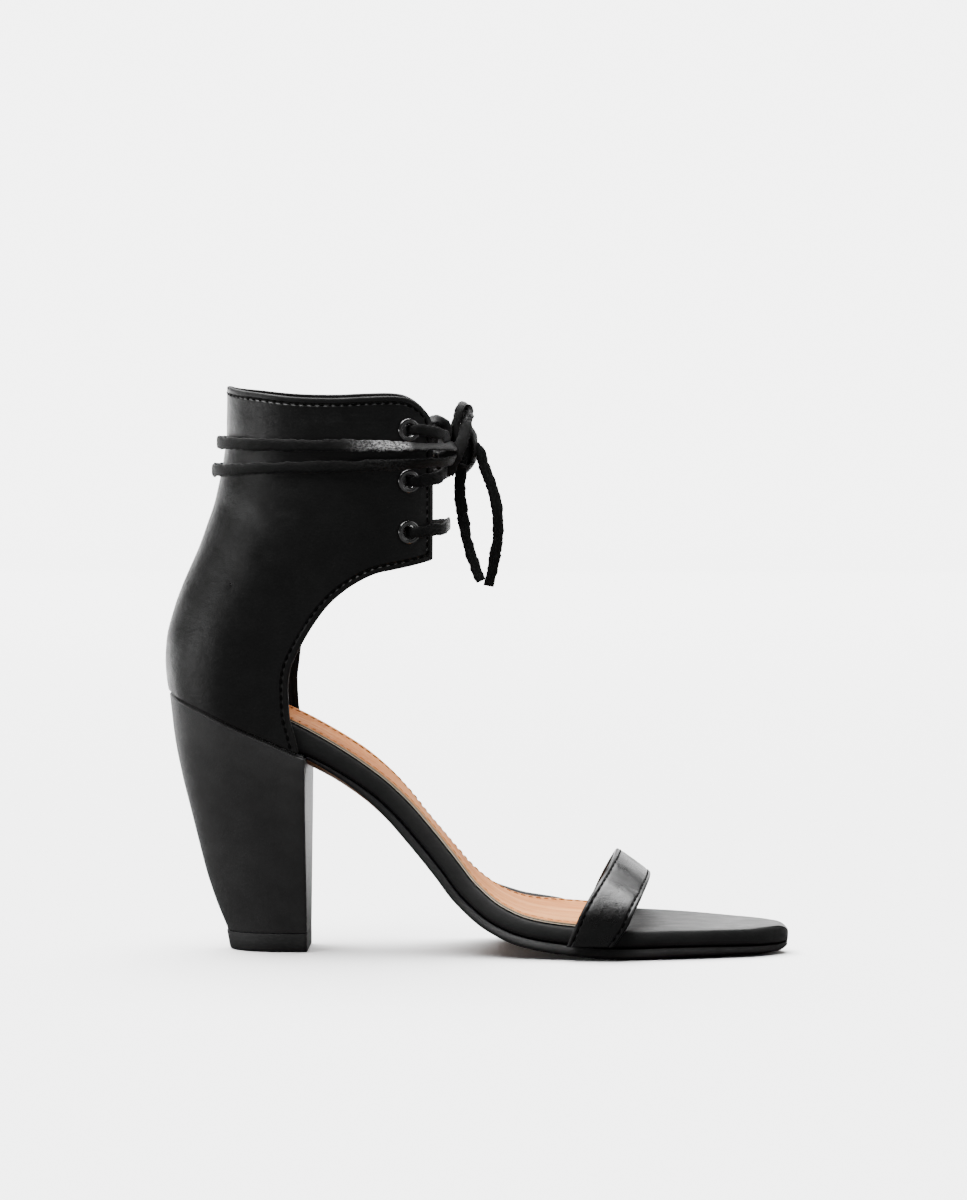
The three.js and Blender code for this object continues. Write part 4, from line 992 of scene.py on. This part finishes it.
def seam_at(x):
    """The footbed's lower edge, under which the counter and the heel meet it."""
    places = np.concatenate(([-0.002], stations(FOOTBED_START, BREAST + 0.008, 60)))
    s = section_at(np.maximum(places, FOOTBED_START))
    line = on_section(s, 0, -s["rand"])
    line[0] = (-0.002, 0, line[1, 2] + (FOOTBED_START + 0.002) * math.tan(math.pi / 8))
    return np.interp(x, line[:, 0], line[:, 2])


def heel_surface(up):
    """A ring at each level: (levels, ring, 3)."""
    back = SHOE_LENGTH * column(HEEL_LEVELS, "back", up)
    tilt = SEAT_SLOPE * column(HEEL_LEVELS, "tilt", up)
    seat_half = ANKLE_WIDTH * LEVELS["half"][1]
    half = LIFT_WIDTH / 2 + (seat_half - LIFT_WIDTH / 2) * column(HEEL_LEVELS, "half", up)
    flat = heel_outline((BREAST - back) / np.cos(tilt), half)
    return np.stack([
        back + flat[:, 0] * np.cos(tilt), flat[:, 1], HEEL_HEIGHT * up - flat[:, 0] * np.sin(tilt),
    ], axis=-1).transpose(1, 0, 2)


def heel_finish():
    f = Finish("heel_leather")
    soft = f.noise(0.009, 3, 0.5)
    pull = f.noise(0.003, 3, 0.6, f.stretched(1, 1, 0.25))
    pores = f.noise(0.0004, 3, 0.6)
    cells = f.cells(0.0006)
    base = f.mix(soft.step(0.3, 0.7), grey(0.034), grey(0.042))
    height = soft * 0.8 + pull * 0.4 + pores * 0.22 + cells.step(0, 0.15) * 0.2
    return f.done(base, 0.42 + pores * 0.1, height, 0.0002, specular=0.25)


# The heel's top is turned in under the counter's edge, which leaves a thin dark seam.
heel_shares = np.concatenate((np.linspace(0, 0.986, 88), [0.9885, 0.992, 1]))
heel_inset = np.interp(heel_shares, [0.986, 0.992, 1], [0, 0.0008, 0.0009])
fine_up = np.linspace(LIFT_LEVEL, HEEL_LEVELS["up"][0], 400)
fine = heel_surface(fine_up)
heel_rows = []
for j in range(fine.shape[1]):
    under_seam = seam_at(fine[:, j, 0]) - MEET_GAP - fine[:, j, 2]
    top = np.interp(0, -under_seam, fine_up)
    levels = LIFT_LEVEL + (top - LIFT_LEVEL) * heel_shares
    heel_rows.append(np.stack([np.interp(levels, fine_up, fine[:, j, k]) for k in range(3)], axis=1))
heel_rings = np.stack(heel_rows, axis=1)
heel_inward = unit((heel_rings.mean(axis=1, keepdims=True) - heel_rings) * [1, 1, 0])
heel_rings = heel_rings + heel_inward * heel_inset[:, None, None]
heel = body("heel_block_wrapped", heel_rings, heel_finish())
heel.data.set_sharp_from_angle(angle=math.radians(55))
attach(heel, "root")
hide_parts("heel_block")

# Top lift.
# Hard black rubber, ground flush with the heel and bevelled where it treads.
lift_rows = []
for z, back, half in [
    (LIFT_HEIGHT, LIFT_BACK - 0.0014, LIFT_WIDTH / 2 + 0.0004),
    (LIFT_HEIGHT - 0.0002, LIFT_BACK - 0.00142, LIFT_WIDTH / 2 + 0.00045),
    (0.0035, LIFT_BACK - 0.0009, LIFT_WIDTH / 2 + 0.00042),
    (0.0007, LIFT_BACK - 0.0004, LIFT_WIDTH / 2 + 0.0004),
    (0, LIFT_BACK, LIFT_WIDTH / 2),
]:
    flat = heel_outline(BREAST - back, half)[:, :, 0]
    lift_rows.append(np.column_stack([back + flat[:, 0], flat[:, 1], np.full(len(flat), z)]))


def rubber_finish():
    f = Finish("lift_rubber")
    grit = f.noise(0.0004, 3, 0.7)
    scuff = f.noise(0.002, 3, 0.6, f.stretched(1, 1, 3))
    return f.done(f.mix(scuff.step(0.4, 0.7), grey(0.012), grey(0.02)), 0.5 + grit * 0.2, grit, 0.00008)


lift = body("top_lift_ground", np.stack(lift_rows), rubber_finish())
lift.data.set_sharp_from_angle(angle=math.radians(40))
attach(lift, "root")
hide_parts("top_lift")

# Upper.
# Heel counter and ankle cuff cut in one piece of black calf, lined with black leather, turned under at
# the seam and stitched along its free edges. Open at the throat, the cut-out and the collar.
THROAT = 0.0973
THROAT_TURN = math.radians(3.6)
FLAP_DEPTH = 0.0604
FLAP_HEIGHT = RIM_HEIGHT - FLAP_DEPTH
COUNTER_FRONT = 0.0456
CUFF_BACK = SHOE_LENGTH * 0.1
EDGE_ROUND = 0.00045
HOLE_CLEARANCE = 0.0029
CUT_EDGE = np.array([
    (1, 1), (0.93, 0.98), (0.827, 0.955), (0.715, 0.932), (0.612, 0.91), (0.5, 0.86), (0.388, 0.787),
    (0.276, 0.685), (0.165, 0.533), (0.08, 0.38), (0.02, 0.24), (0, 0.13), (0, 0), (0.01, -0.351),
    (0.035, -0.595), (0.07, -0.973),
])
RIM_EDGE = np.array([
    (0, -0.045), (0.06, -0.008), (0.2, 0.018), (0.36, 0.039), (0.55, 0.044), (0.7, 0.036), (0.82, 0.034),
    (0.88, 0.046), (0.94, 0.09), (0.985, 0.155), (1, 0.235),
])
counter_foot = COUNTER_FRONT + (THROAT - COUNTER_FRONT) * CUT_EDGE[-1, 0]
foot_height = float(seam_at(counter_foot))
cut_x = COUNTER_FRONT + (THROAT - COUNTER_FRONT) * CUT_EDGE[:, 0]
cut_z = np.where(CUT_EDGE[:, 1] > 0, HEEL_HEIGHT + (FLAP_HEIGHT - HEEL_HEIGHT) * CUT_EDGE[:, 1],
                 HEEL_HEIGHT - (foot_height - HEEL_HEIGHT) * CUT_EDGE[:, 1])
cut_line = through(np.column_stack([cut_x, 0 * cut_x, cut_z]), 0.0002)[::-1][:, [0, 2]]
rim_x = CUFF_BACK - UPPER_WALL + (THROAT - CUFF_BACK + UPPER_WALL) * RIM_EDGE[:, 0]
rim_line = through(np.column_stack([rim_x, 0 * rim_x, RIM_HEIGHT - FLAP_DEPTH * RIM_EDGE[:, 1]]), 0.0002)
rim_line = rim_line[:, [0, 2]]


def cuff_turn(z):
    low, high = (HEEL_HEIGHT + (RIM_HEIGHT - HEEL_HEIGHT) * share for share in (0.08, 0.22))
    return THROAT_TURN * smoothstep(z, low, high)


def cuff_place(x, z, side):
    """The angle and level of the cuff's face that stand over a place of the side view."""
    x, z = np.asarray(x, float), np.asarray(z, float)
    y = side * ANKLE_WIDTH / 2 + 0 * x
    up = (z - HEEL_HEIGHT) / (RIM_HEIGHT - HEEL_HEIGHT)
    for _ in range(12):
        at = x - (y + ANKLE_WIDTH * 0.4) * np.tan(cuff_turn(z))
        tilt = SEAT_SLOPE * column(LEVELS, "tilt", up)
        back = SHOE_LENGTH * column(LEVELS, "back", up)
        depth = (CLOSED_FRONT * column(LEVELS, "front", up) - back) / np.cos(tilt)
        end = (at - back) / np.cos(tilt)
        u = np.clip(end, 0, depth)
        angle = np.arccos(np.clip(1 - 2 * u / depth, -1, 1))
        y = side * abs(cuff_point(angle, up)[..., 1])
        up = (z + end.clip(0) * np.sin(tilt) - HEEL_HEIGHT) / (RIM_HEIGHT - HEEL_HEIGHT)
    return angle, up


def resampled(line, count, power=1.0):
    """A line in a number of equal steps, or in steps that grow along it."""
    way = np.concatenate(([0], np.cumsum(np.linalg.norm(np.diff(line, axis=0), axis=1))))
    at = way[-1] * np.linspace(0, 1, count) ** power
    return np.stack([np.interp(at, way, line[:, k]) for k in range(line.shape[1])], axis=1)


def inset(line, by, left):
    """A side view line moved to its left or right."""
    way = unit(np.gradient(line, axis=0))
    return line + np.column_stack([-way[:, 1], way[:, 0]]) * (by if left else -by)


# Creases of the worn-in leather: places of the side view (mm), depth and width. Ridges stand out,
# troughs lie in, and each fades towards its ends.
CREASES = {
    -1: [([(-86, 165), (-75, 158.6), (-65, 151.5), (-55, 144)], 0.55, 4.6),
         ([(-88, 156), (-77, 150), (-67, 142), (-59, 132)], -0.6, 4.4),
         ([(-86, 189), (-70, 187.6), (-52, 186.6), (-36, 187)], 0.42, 4.2),
         ([(-52, 193.3), (-44, 192.4), (-34, 192.8)], -0.14, 0.9),
         ([(-50, 190.8), (-41, 189.8), (-31, 190.4)], -0.12, 0.8),
         ([(-46, 188.2), (-38, 187.6), (-30, 188.4)], -0.1, 0.8),
         ([(-72, 131), (-64, 122), (-60, 110)], 0.35, 4),
         ([(-92, 118), (-89, 104), (-86, 96)], 0.3, 5)],
    1: [([(-84, 160), (-72, 153), (-60, 147)], 0.5, 4.6),
        ([(-86, 151), (-74, 144), (-62, 137)], -0.55, 4.4),
        ([(-86, 189), (-66, 187), (-40, 187)], 0.4, 4.2),
        ([(-54, 192), (-44, 191), (-34, 192)], -0.12, 0.9)],
}


def creased(points, side):
    """Points of the cuff, moved out or in by the creases of their side."""
    down, over = np.gradient(points, axis=1), np.gradient(points, axis=0)
    out = unit(np.cross(down, over))
    out = out * np.sign((out[..., 1] * side).sum())
    shift = np.zeros(points.shape[:2])
    seen = np.stack([points[..., 0] - SHIFT[0], points[..., 2] - SHIFT[2]], axis=-1)
    for places, depth, width in CREASES[side]:
        line = resampled(np.array(places) / 1000, 24)
        fade = np.sin(np.pi * np.linspace(0.04, 0.96, 24)) ** 0.6
        gap = np.linalg.norm(seen[:, :, None] - line, axis=3)
        shift += depth / 1000 * (np.exp(-((gap * 1000 / width) ** 2)) * fade).max(axis=2)
    return points + out * shift[..., None]


ACROSS, UP_STEPS = 190, 110
seam_x = np.linspace(-0.002, counter_foot, 400)
seam_line = np.column_stack([seam_x, seam_at(seam_x)])


def upper_side(side):
    """Outer and inner face of one side as grids, with each point's way from the free edge."""
    cut = inset(cut_line, EDGE_ROUND, True)
    rim = inset(rim_line, EDGE_ROUND, False)
    corner = np.array([[THROAT - EDGE_ROUND, FLAP_HEIGHT + EDGE_ROUND]])
    cut = np.vstack([cut[cut[:, 0] < corner[0, 0] - 0.0002], corner])
    seam = seam_line[seam_line[:, 0] < cut[0, 0] - 0.0002] + np.array([0, EDGE_ROUND])
    split = int(np.searchsorted(rim_line[:, 0], 0.0946))
    bottom = np.vstack([seam, cut])
    top = rim[:split]
    throat = np.vstack([corner, np.array([[THROAT - EDGE_ROUND, 0.1855]]), rim[split:][::-1]])
    keep = np.concatenate(([True], np.diff(throat[:, 1]) > 0))
    throat = throat[keep]
    faces = []
    for offset in (0.0, -UPPER_WALL):
        lines = []
        for line in (bottom, top, throat):
            angle, up = cuff_place(line[:, 0], line[:, 1], side)
            lines.append(np.column_stack([angle, up]))
        low, high, front = lines
        started = low[:, 0] > 0.002
        low = np.vstack([[0, low[started][0, 1]], low[started]])
        started = high[:, 0] > 0.002
        high = np.vstack([[0, high[started][0, 1]], high[started]])
        scale = np.array([0.045, 0.11])
        low = resampled(low * scale, ACROSS) / scale
        share = np.linspace(0, 1, ACROSS)
        high = resampled(high * scale, ACROSS, 1.9) / scale
        front = resampled(front * scale, UP_STEPS) / scale
        t = np.linspace(0, 1, UP_STEPS)[None, :, None]
        s = share[:, None, None]
        left = low[0] + (high[0] - low[0]) * t[0]
        grid = (1 - t) * low[:, None] + t * high[:, None] + (1 - s) * left[None] + s * front[None]
        corners = ((1 - s) * (1 - t) * low[0] + s * (1 - t) * low[-1]
                   + (1 - s) * t * high[0] + s * t * high[-1])
        grid = grid - corners
        faces.append(creased(cuff_point(side * grid[..., 0], grid[..., 1], offset), side))
    return faces


upper_points, upper_faces, upper_places, upper_edge = [], [], [], []
free_edge = {}
base = 0
for side in (-1, 1):
    outer, inner = upper_side(side)
    rim_loop = [(i, 0) for i in range(ACROSS)] + [(ACROSS - 1, j) for j in range(1, UP_STEPS)]
    rim_loop += [(i, UP_STEPS - 1) for i in range(ACROSS - 2, -1, -1)]
    to_foot = outer[:, 0][:, [0, 2]] - [counter_foot, foot_height]
    corner_foot = int(np.argmin(np.linalg.norm(to_foot, axis=1)))
    stitched = np.array([outer[i, j] for i, j in rim_loop[corner_foot:]])
    free_edge[side] = stitched
    flat = outer.reshape(-1, 3)
    away = np.full(len(flat), 1.0)
    for start in range(0, len(flat), 2000):
        gap = flat[start:start + 2000, None] - stitched[None]
        away[start:start + 2000] = np.sqrt((gap**2).sum(axis=2)).min(axis=1)
    away += EDGE_ROUND
    holes = [eyelet_seat(side, i)[0] for i in range(3)]

    def quads(offset, flip):
        rows = []
        for i in range(ACROSS - 1):
            for j in range(UP_STEPS - 1):
                middle = (outer[i, j] + outer[i + 1, j + 1]) / 2
                if min(np.linalg.norm(middle - hole) for hole in holes) < HOLE_CLEARANCE:
                    continue
                a = offset + i * UP_STEPS + j
                face = (a, a + UP_STEPS, a + UP_STEPS + 1, a + 1)
                rows.append(face[::-1] if flip else face)
        return rows

    size = ACROSS * UP_STEPS
    upper_points += [flat, inner.reshape(-1, 3)]
    upper_edge += [away, away]
    outer_faces = quads(base, side > 0)
    inner_faces = quads(base + size, side < 0)
    upper_faces += outer_faces + inner_faces
    upper_places += [0] * len(outer_faces) + [1] * len(inner_faces)
    # The rounded edge: half an ellipse from the outer face to the inner one, without the back line.
    ring = np.array([outer[i, j] for i, j in rim_loop])
    ring_in = np.array([inner[i, j] for i, j in rim_loop])
    way = unit(np.gradient((ring + ring_in) / 2, axis=0))
    through_wall = unit(ring - ring_in)
    side_out = unit(np.cross(way, through_wall)) * (1 if side < 0 else -1)
    middle_out = ((ring + ring_in) / 2)
    interior = np.array([
        outer[min(max(i, 1), ACROSS - 2), min(max(j, 1), UP_STEPS - 2)] for i, j in rim_loop
    ])
    wrong = ((ring - interior) * side_out).sum(axis=1) < 0
    side_out[wrong] *= -1
    strips = [np.array([base + i * UP_STEPS + j for i, j in rim_loop])]
    start = base + 2 * size
    turns = np.linspace(0, np.pi, 8)[1:-1]
    for k, turn in enumerate(turns):
        upper_points.append(middle_out + (ring - ring_in) / 2 * np.cos(turn)
                            + side_out * EDGE_ROUND * np.sin(turn))
        upper_edge.append(np.zeros(len(ring)))
        strips.append(start + k * len(ring) + np.arange(len(ring)))
    strips.append(np.array([base + size + i * UP_STEPS + j for i, j in rim_loop]))
    for a, b in zip(strips, strips[1:]):
        for m in range(len(ring) - 1):
            face = (a[m], b[m], b[m + 1], a[m + 1])
            upper_faces.append(face if side < 0 else face[::-1])
            upper_places.append(0)
    base = start + len(turns) * len(ring)

LINING = black_leather("lining_leather", grain=0.0004, wrinkle=0.3, base=0.0022, rough=0.8)
upper_leather = black_leather("upper_leather")
upper_points = np.vstack(upper_points) - SHIFT
upper = made("upper_leather_shell", upper_points, [tuple(int(v) for v in face) for face in upper_faces],
             [upper_leather, LINING], upper_places, edge=np.concatenate(upper_edge))
welded = upper.modifiers.new("weld", "WELD")
welded.merge_threshold = 0.00003
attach(upper, "root")
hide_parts("upper_counter_cuff")

# Stitches of the upper.
# Black thread in a pressed groove beside the rim, the throat, the flap's foot and the cut-out.
black_thread = thread("black_thread", (0.002, 0.002, 0.002, 1), 0.9)
for side, label in ((-1, "inner"), (1, "outer")):
    line = np.vstack([cut_line[cut_line[:, 0] < THROAT - 0.0001], [[THROAT, FLAP_HEIGHT]],
                      np.column_stack([np.full(60, THROAT), np.linspace(FLAP_HEIGHT, 0.1864, 60)]),
                      rim_line[::-1]])
    line = resampled(line, 900)
    row = inset(line, SEWN_INSET, True)
    gap = np.linalg.norm(row[:, None] - line[None], axis=2).min(axis=1)
    row = row[(gap > 0.00233) & (row[:, 0] > 0.0225) & (row[:, 1] > seam_at(row[:, 0]) + 0.0018)]
    angle, up = cuff_place(row[:, 0], row[:, 1], side)
    places = cuff_point(side * angle, up, 0.00005)
    ways = cuff_point(side * angle, up, 0.001) - cuff_point(side * angle, up, 0)
    rows = np.hstack([places - SHIFT, unit(ways)])[::4]
    sewn = stitch_row("upper_stitches_" + label, rows, black_thread, seed=5)

# Toe strap.
# A folded band of black leather, lasted into the sole on both sides and stitched along both edges.
STRAP_THICK = 0.002
STRAP_WIDTH = 0.0153
STRAP_PLACE = 0.1457
STRAP_REAR = {
    "start": STRAP_PLACE - 0.0013, "wall": 0.0034, "lean": 0.0134, "crest": 0.0348, "shift": 0.0046,
}
STRAP_AHEAD = {
    "start": STRAP_PLACE + STRAP_WIDTH, "wall": 0.0055, "lean": 0.007, "crest": 0.0259, "shift": 0.0016,
}
STRAP_STRAIGHT = 0.12
STRAP_SEWN = {"rear": 0.095, "front": 0.905}
STRAP_ACROSS = 0.0242


def strap_edge(share, edge):
    """The strap's rear or front edge, from its foot on the inner side over the foot to the other."""
    share = np.asarray(share, float)
    arch = np.clip((share - STRAP_STRAIGHT) / (1 - 2 * STRAP_STRAIGHT), 0, 1)
    turn = np.pi * arch**0.96
    wall = np.minimum(1, np.minimum(share, 1 - share) / STRAP_STRAIGHT)
    over = np.abs(np.sin(turn)) ** 0.9
    foot, wall_top = OUTSOLE + 2 * MEET_GAP, STAND + 0.002
    z = np.where(wall < 1, foot + (wall_top - foot) * wall, wall_top + (edge["crest"] - wall_top) * over)
    shift = edge["shift"] * smoothstep(share, 0.45, 1)
    x = edge["start"] + shift + wall * edge["wall"] + over**1.2 * edge["lean"]
    s = section_at(edge["start"] + shift)
    reach = s["half"] + 2.2 * MEET_GAP + STRAP_THICK / 2
    return np.stack([x, s["middle"] - reach * np.cos(turn), z], axis=-1)


def eased(line, times):
    """A line with its turns eased, its ends kept."""
    for _ in range(times):
        line = np.vstack([line[:1], 0.25 * line[:-2] + 0.5 * line[1:-1] + 0.25 * line[2:], line[-1:]])
    return line


strap_share = np.linspace(0, 1, 181)
strap_rear = eased(strap_edge(strap_share, STRAP_REAR), 6)
strap_front = eased(strap_edge(strap_share, STRAP_AHEAD), 6)
strap_along = unit(np.gradient(strap_rear + strap_front, axis=0))
strap_over = strap_front - strap_rear
strap_out = unit(np.cross(strap_along, unit(strap_over)))
strap_away = np.column_stack([0 * strap_share, strap_rear[:, 1], 0.02 + 0 * strap_share])
strap_out[(strap_out * strap_away).sum(axis=1) < 0] *= -1
# A soft trough where the strap bends over the inner side of the foot.
strap_dent = 0.0011 * np.exp(-(((strap_share - 0.32) / 0.045) ** 2))
strap_rear = strap_rear - strap_out * strap_dent[:, None]
strap_front = strap_front - strap_out * strap_dent[:, None]
strap_rows, strap_edges = [], []
strap_shape = [
    (0, -0.25), (0.02, -0.42), (0.06, -0.5), (0.25, -0.5), (0.5, -0.5), (0.75, -0.5), (0.94, -0.5),
    (0.98, -0.42), (1, -0.25), (1, 0.2), (0.99, 0.4), (0.965, 0.5), (0.93, 0.5), (0.905, 0.42), (0.88, 0.5),
    (0.8, 0.57), (0.6, 0.6), (0.5, 0.6), (0.4, 0.6), (0.2, 0.57), (0.12, 0.5), (0.095, 0.42), (0.07, 0.5),
    (0.035, 0.5), (0.01, 0.4), (0, 0.2),
]
for w, t in strap_shape:
    strap_rows.append(strap_rear + strap_over * w + strap_out * t * STRAP_THICK)
    near_edge = min(w, 1 - w) * STRAP_ACROSS
    strap_edges.append(np.full(len(strap_share), near_edge if t > 0 else 1.0))
strap_leather = black_leather("strap_leather", wrinkle=0.55, base=0.004, rough=0.25, grain=0.0008)
strap_dull = 0.8 * np.exp(-(((strap_share - 0.33) / 0.022) ** 2))
strap = body("toe_strap_folded", np.stack(strap_rows, axis=1), strap_leather,
             edge=np.stack(strap_edges, 1).ravel(), dull=np.repeat(strap_dull, len(strap_rows)))
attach(strap, "root")
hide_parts("toe_strap")
for label, w in STRAP_SEWN.items():
    places = strap_rear + strap_over * w + strap_out * 0.46 * STRAP_THICK - SHIFT
    sewn = stitch_row("strap_stitches_" + label, np.hstack([places, strap_out])[8:-8], black_thread, seed=9)

# Eyelets.
# Dark nickel: a domed flange outside, a barrel through the leather and a flat flare inside, set with a
# hand press.


def nickel_finish():
    f = Finish("eyelet_nickel")
    cloud = f.noise(0.003, 3, 0.5)
    scratch = f.noise(0.0005, 3, 0.6)
    base = f.mix(cloud.step(0.3, 0.7), grey(0.13), grey(0.18))
    return f.done(base, 0.1 + scratch * 0.1, scratch, 0.00003, metallic=1.0)


NICKEL = nickel_finish()
EYELET_TURNS = 64
EYELET_PROFILE = [
    (2.35, -2.8), (3.6, -2.8), (3.7, -2.72), (3.7, -2.3), (3.6, -2.22), (3.0, -2.2), (3.0, 0.05),
    (3.9, 0.02), (4.12, 0.06), (4.2, 0.18), (4.17, 0.36), (4.0, 0.56), (3.75, 0.7), (3.5, 0.76),
    (3.25, 0.74), (3.05, 0.66), (2.9, 0.72), (2.72, 0.74), (2.52, 0.66), (2.4, 0.45), (2.35, 0.1),
]
for side, label in ((-1, "inner"), (1, "outer")):
    for i in range(3):
        seat, out = eyelet_seat(side, i)
        seat = seat + out * 0.00015
        one = unit(np.cross(out, [0, 0, 1]))
        two = np.cross(out, one)
        rings = []
        for turn in np.linspace(0, 2 * np.pi, EYELET_TURNS, endpoint=False):
            radial = one * math.cos(turn) + two * math.sin(turn)
            rings.append([seat + radial * r / 1000 + out * z / 1000 for r, z in EYELET_PROFILE])
        rings = np.array(rings)
        points = rings.reshape(-1, 3) - SHIFT
        faces = skin_faces(EYELET_TURNS, len(EYELET_PROFILE), closed=True)
        faces = outward(points - points.mean(axis=0), faces)
        eyelet = made(f"eyelet_{label}_{i + 1}_turned", points, faces, [NICKEL])
        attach(eyelet, "root")
        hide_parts(f"eyelet_{label}_{i + 1}")

# Floor and light.
# A plain pale floor under a large soft light from above and a small one from the front, with low soft
# boxes at the sides and one behind. The surroundings look as pale as the floor and light the shoe little.
PAPER_LIGHT = 5.7


def floor_finish():
    f = Finish("floor_paper")
    fibre = f.noise(0.002, 2, 0.5)
    paper_material = f.done(grey(0.87), 0.9, fibre, 0.00002, specular=0.0)
    back = f.node("ShaderNodeSeparateXYZ", "Y", None, _0=f.place)
    behind = back.step(0.08, 0.5)
    dim = f.node("ShaderNodeBsdfDiffuse", 0, None, Color=f.mix(behind, grey(0.05), grey(0.8)))
    far = back.step(0.5, 3.5)
    haze = f.node("ShaderNodeEmission", 0, None, Color=grey(1), Strength=PAPER_LIGHT)
    paper = f.node("ShaderNodeMixShader", 0, None, _0=far, _1=Value(f.tree, f.shader.outputs[0]), _2=haze)
    seen = f.node("ShaderNodeLightPath", "Is Camera Ray")
    either = f.node("ShaderNodeMixShader", 0, None, _0=seen, _1=dim, _2=paper)
    f.tree.links.new(either.socket, f.tree.nodes["Material Output"].inputs["Surface"])
    return paper_material


FLOOR_REACH = 40
corners = [(FLOOR_REACH * x, FLOOR_REACH * y, -0.0003) for x, y in ((-1, -1), (1, -1), (1, 1), (-1, 1))]
floor = made("floor", corners, [(0, 1, 2, 3)], [floor_finish()])

world = bpy.data.worlds.new("studio")
world.use_nodes = True
nodes, links = world.node_tree.nodes, world.node_tree.links
shown, lighting = nodes["Background"], nodes.new("ShaderNodeBackground")
shown.inputs["Color"].default_value = (1, 1, 1, 1)
shown.inputs["Strength"].default_value = PAPER_LIGHT
lighting.inputs["Color"].default_value = (1, 1, 1, 1)
lighting.inputs["Strength"].default_value = 0.1
ray, either = nodes.new("ShaderNodeLightPath"), nodes.new("ShaderNodeMixShader")
links.new(ray.outputs["Is Camera Ray"], either.inputs[0])
links.new(lighting.outputs[0], either.inputs[1])
links.new(shown.outputs[0], either.inputs[2])
links.new(either.outputs[0], nodes["World Output"].inputs["Surface"])
bpy.context.scene.world = world


def lamp(name, kind, place, power, **sizes):
    light = bpy.data.lights.new(name, kind)
    light.energy = power
    for key, value in sizes.items():
        setattr(light, key, value)
    thing = bpy.data.objects.new(name, light)
    thing.location = place
    way = Vector(-np.array(place, float) + np.array([0, 0, 0.1]))
    thing.rotation_euler = way.to_track_quat("-Z", "Y").to_euler()
    thing.visible_camera = False
    bpy.context.scene.collection.objects.link(thing)


lamp("overhead", "SUN", (-0.5, 0.75, 2.8), 17, angle=math.radians(64))
lamp("over the front", "SUN", (-0.9, -1.1, 2.2), 1.8, angle=math.radians(26))
lamp("left", "AREA", (-1.5, -0.5, 0.13), 5.5, shape="RECTANGLE", size=0.7, size_y=0.24)
lamp("back", "AREA", (0, 2.4, 0.8), 46, shape="RECTANGLE", size=4, size_y=1.6)
lamp("right", "AREA", (1.4, -0.5, 0.8), 3, shape="RECTANGLE", size=0.7, size_y=0.9)
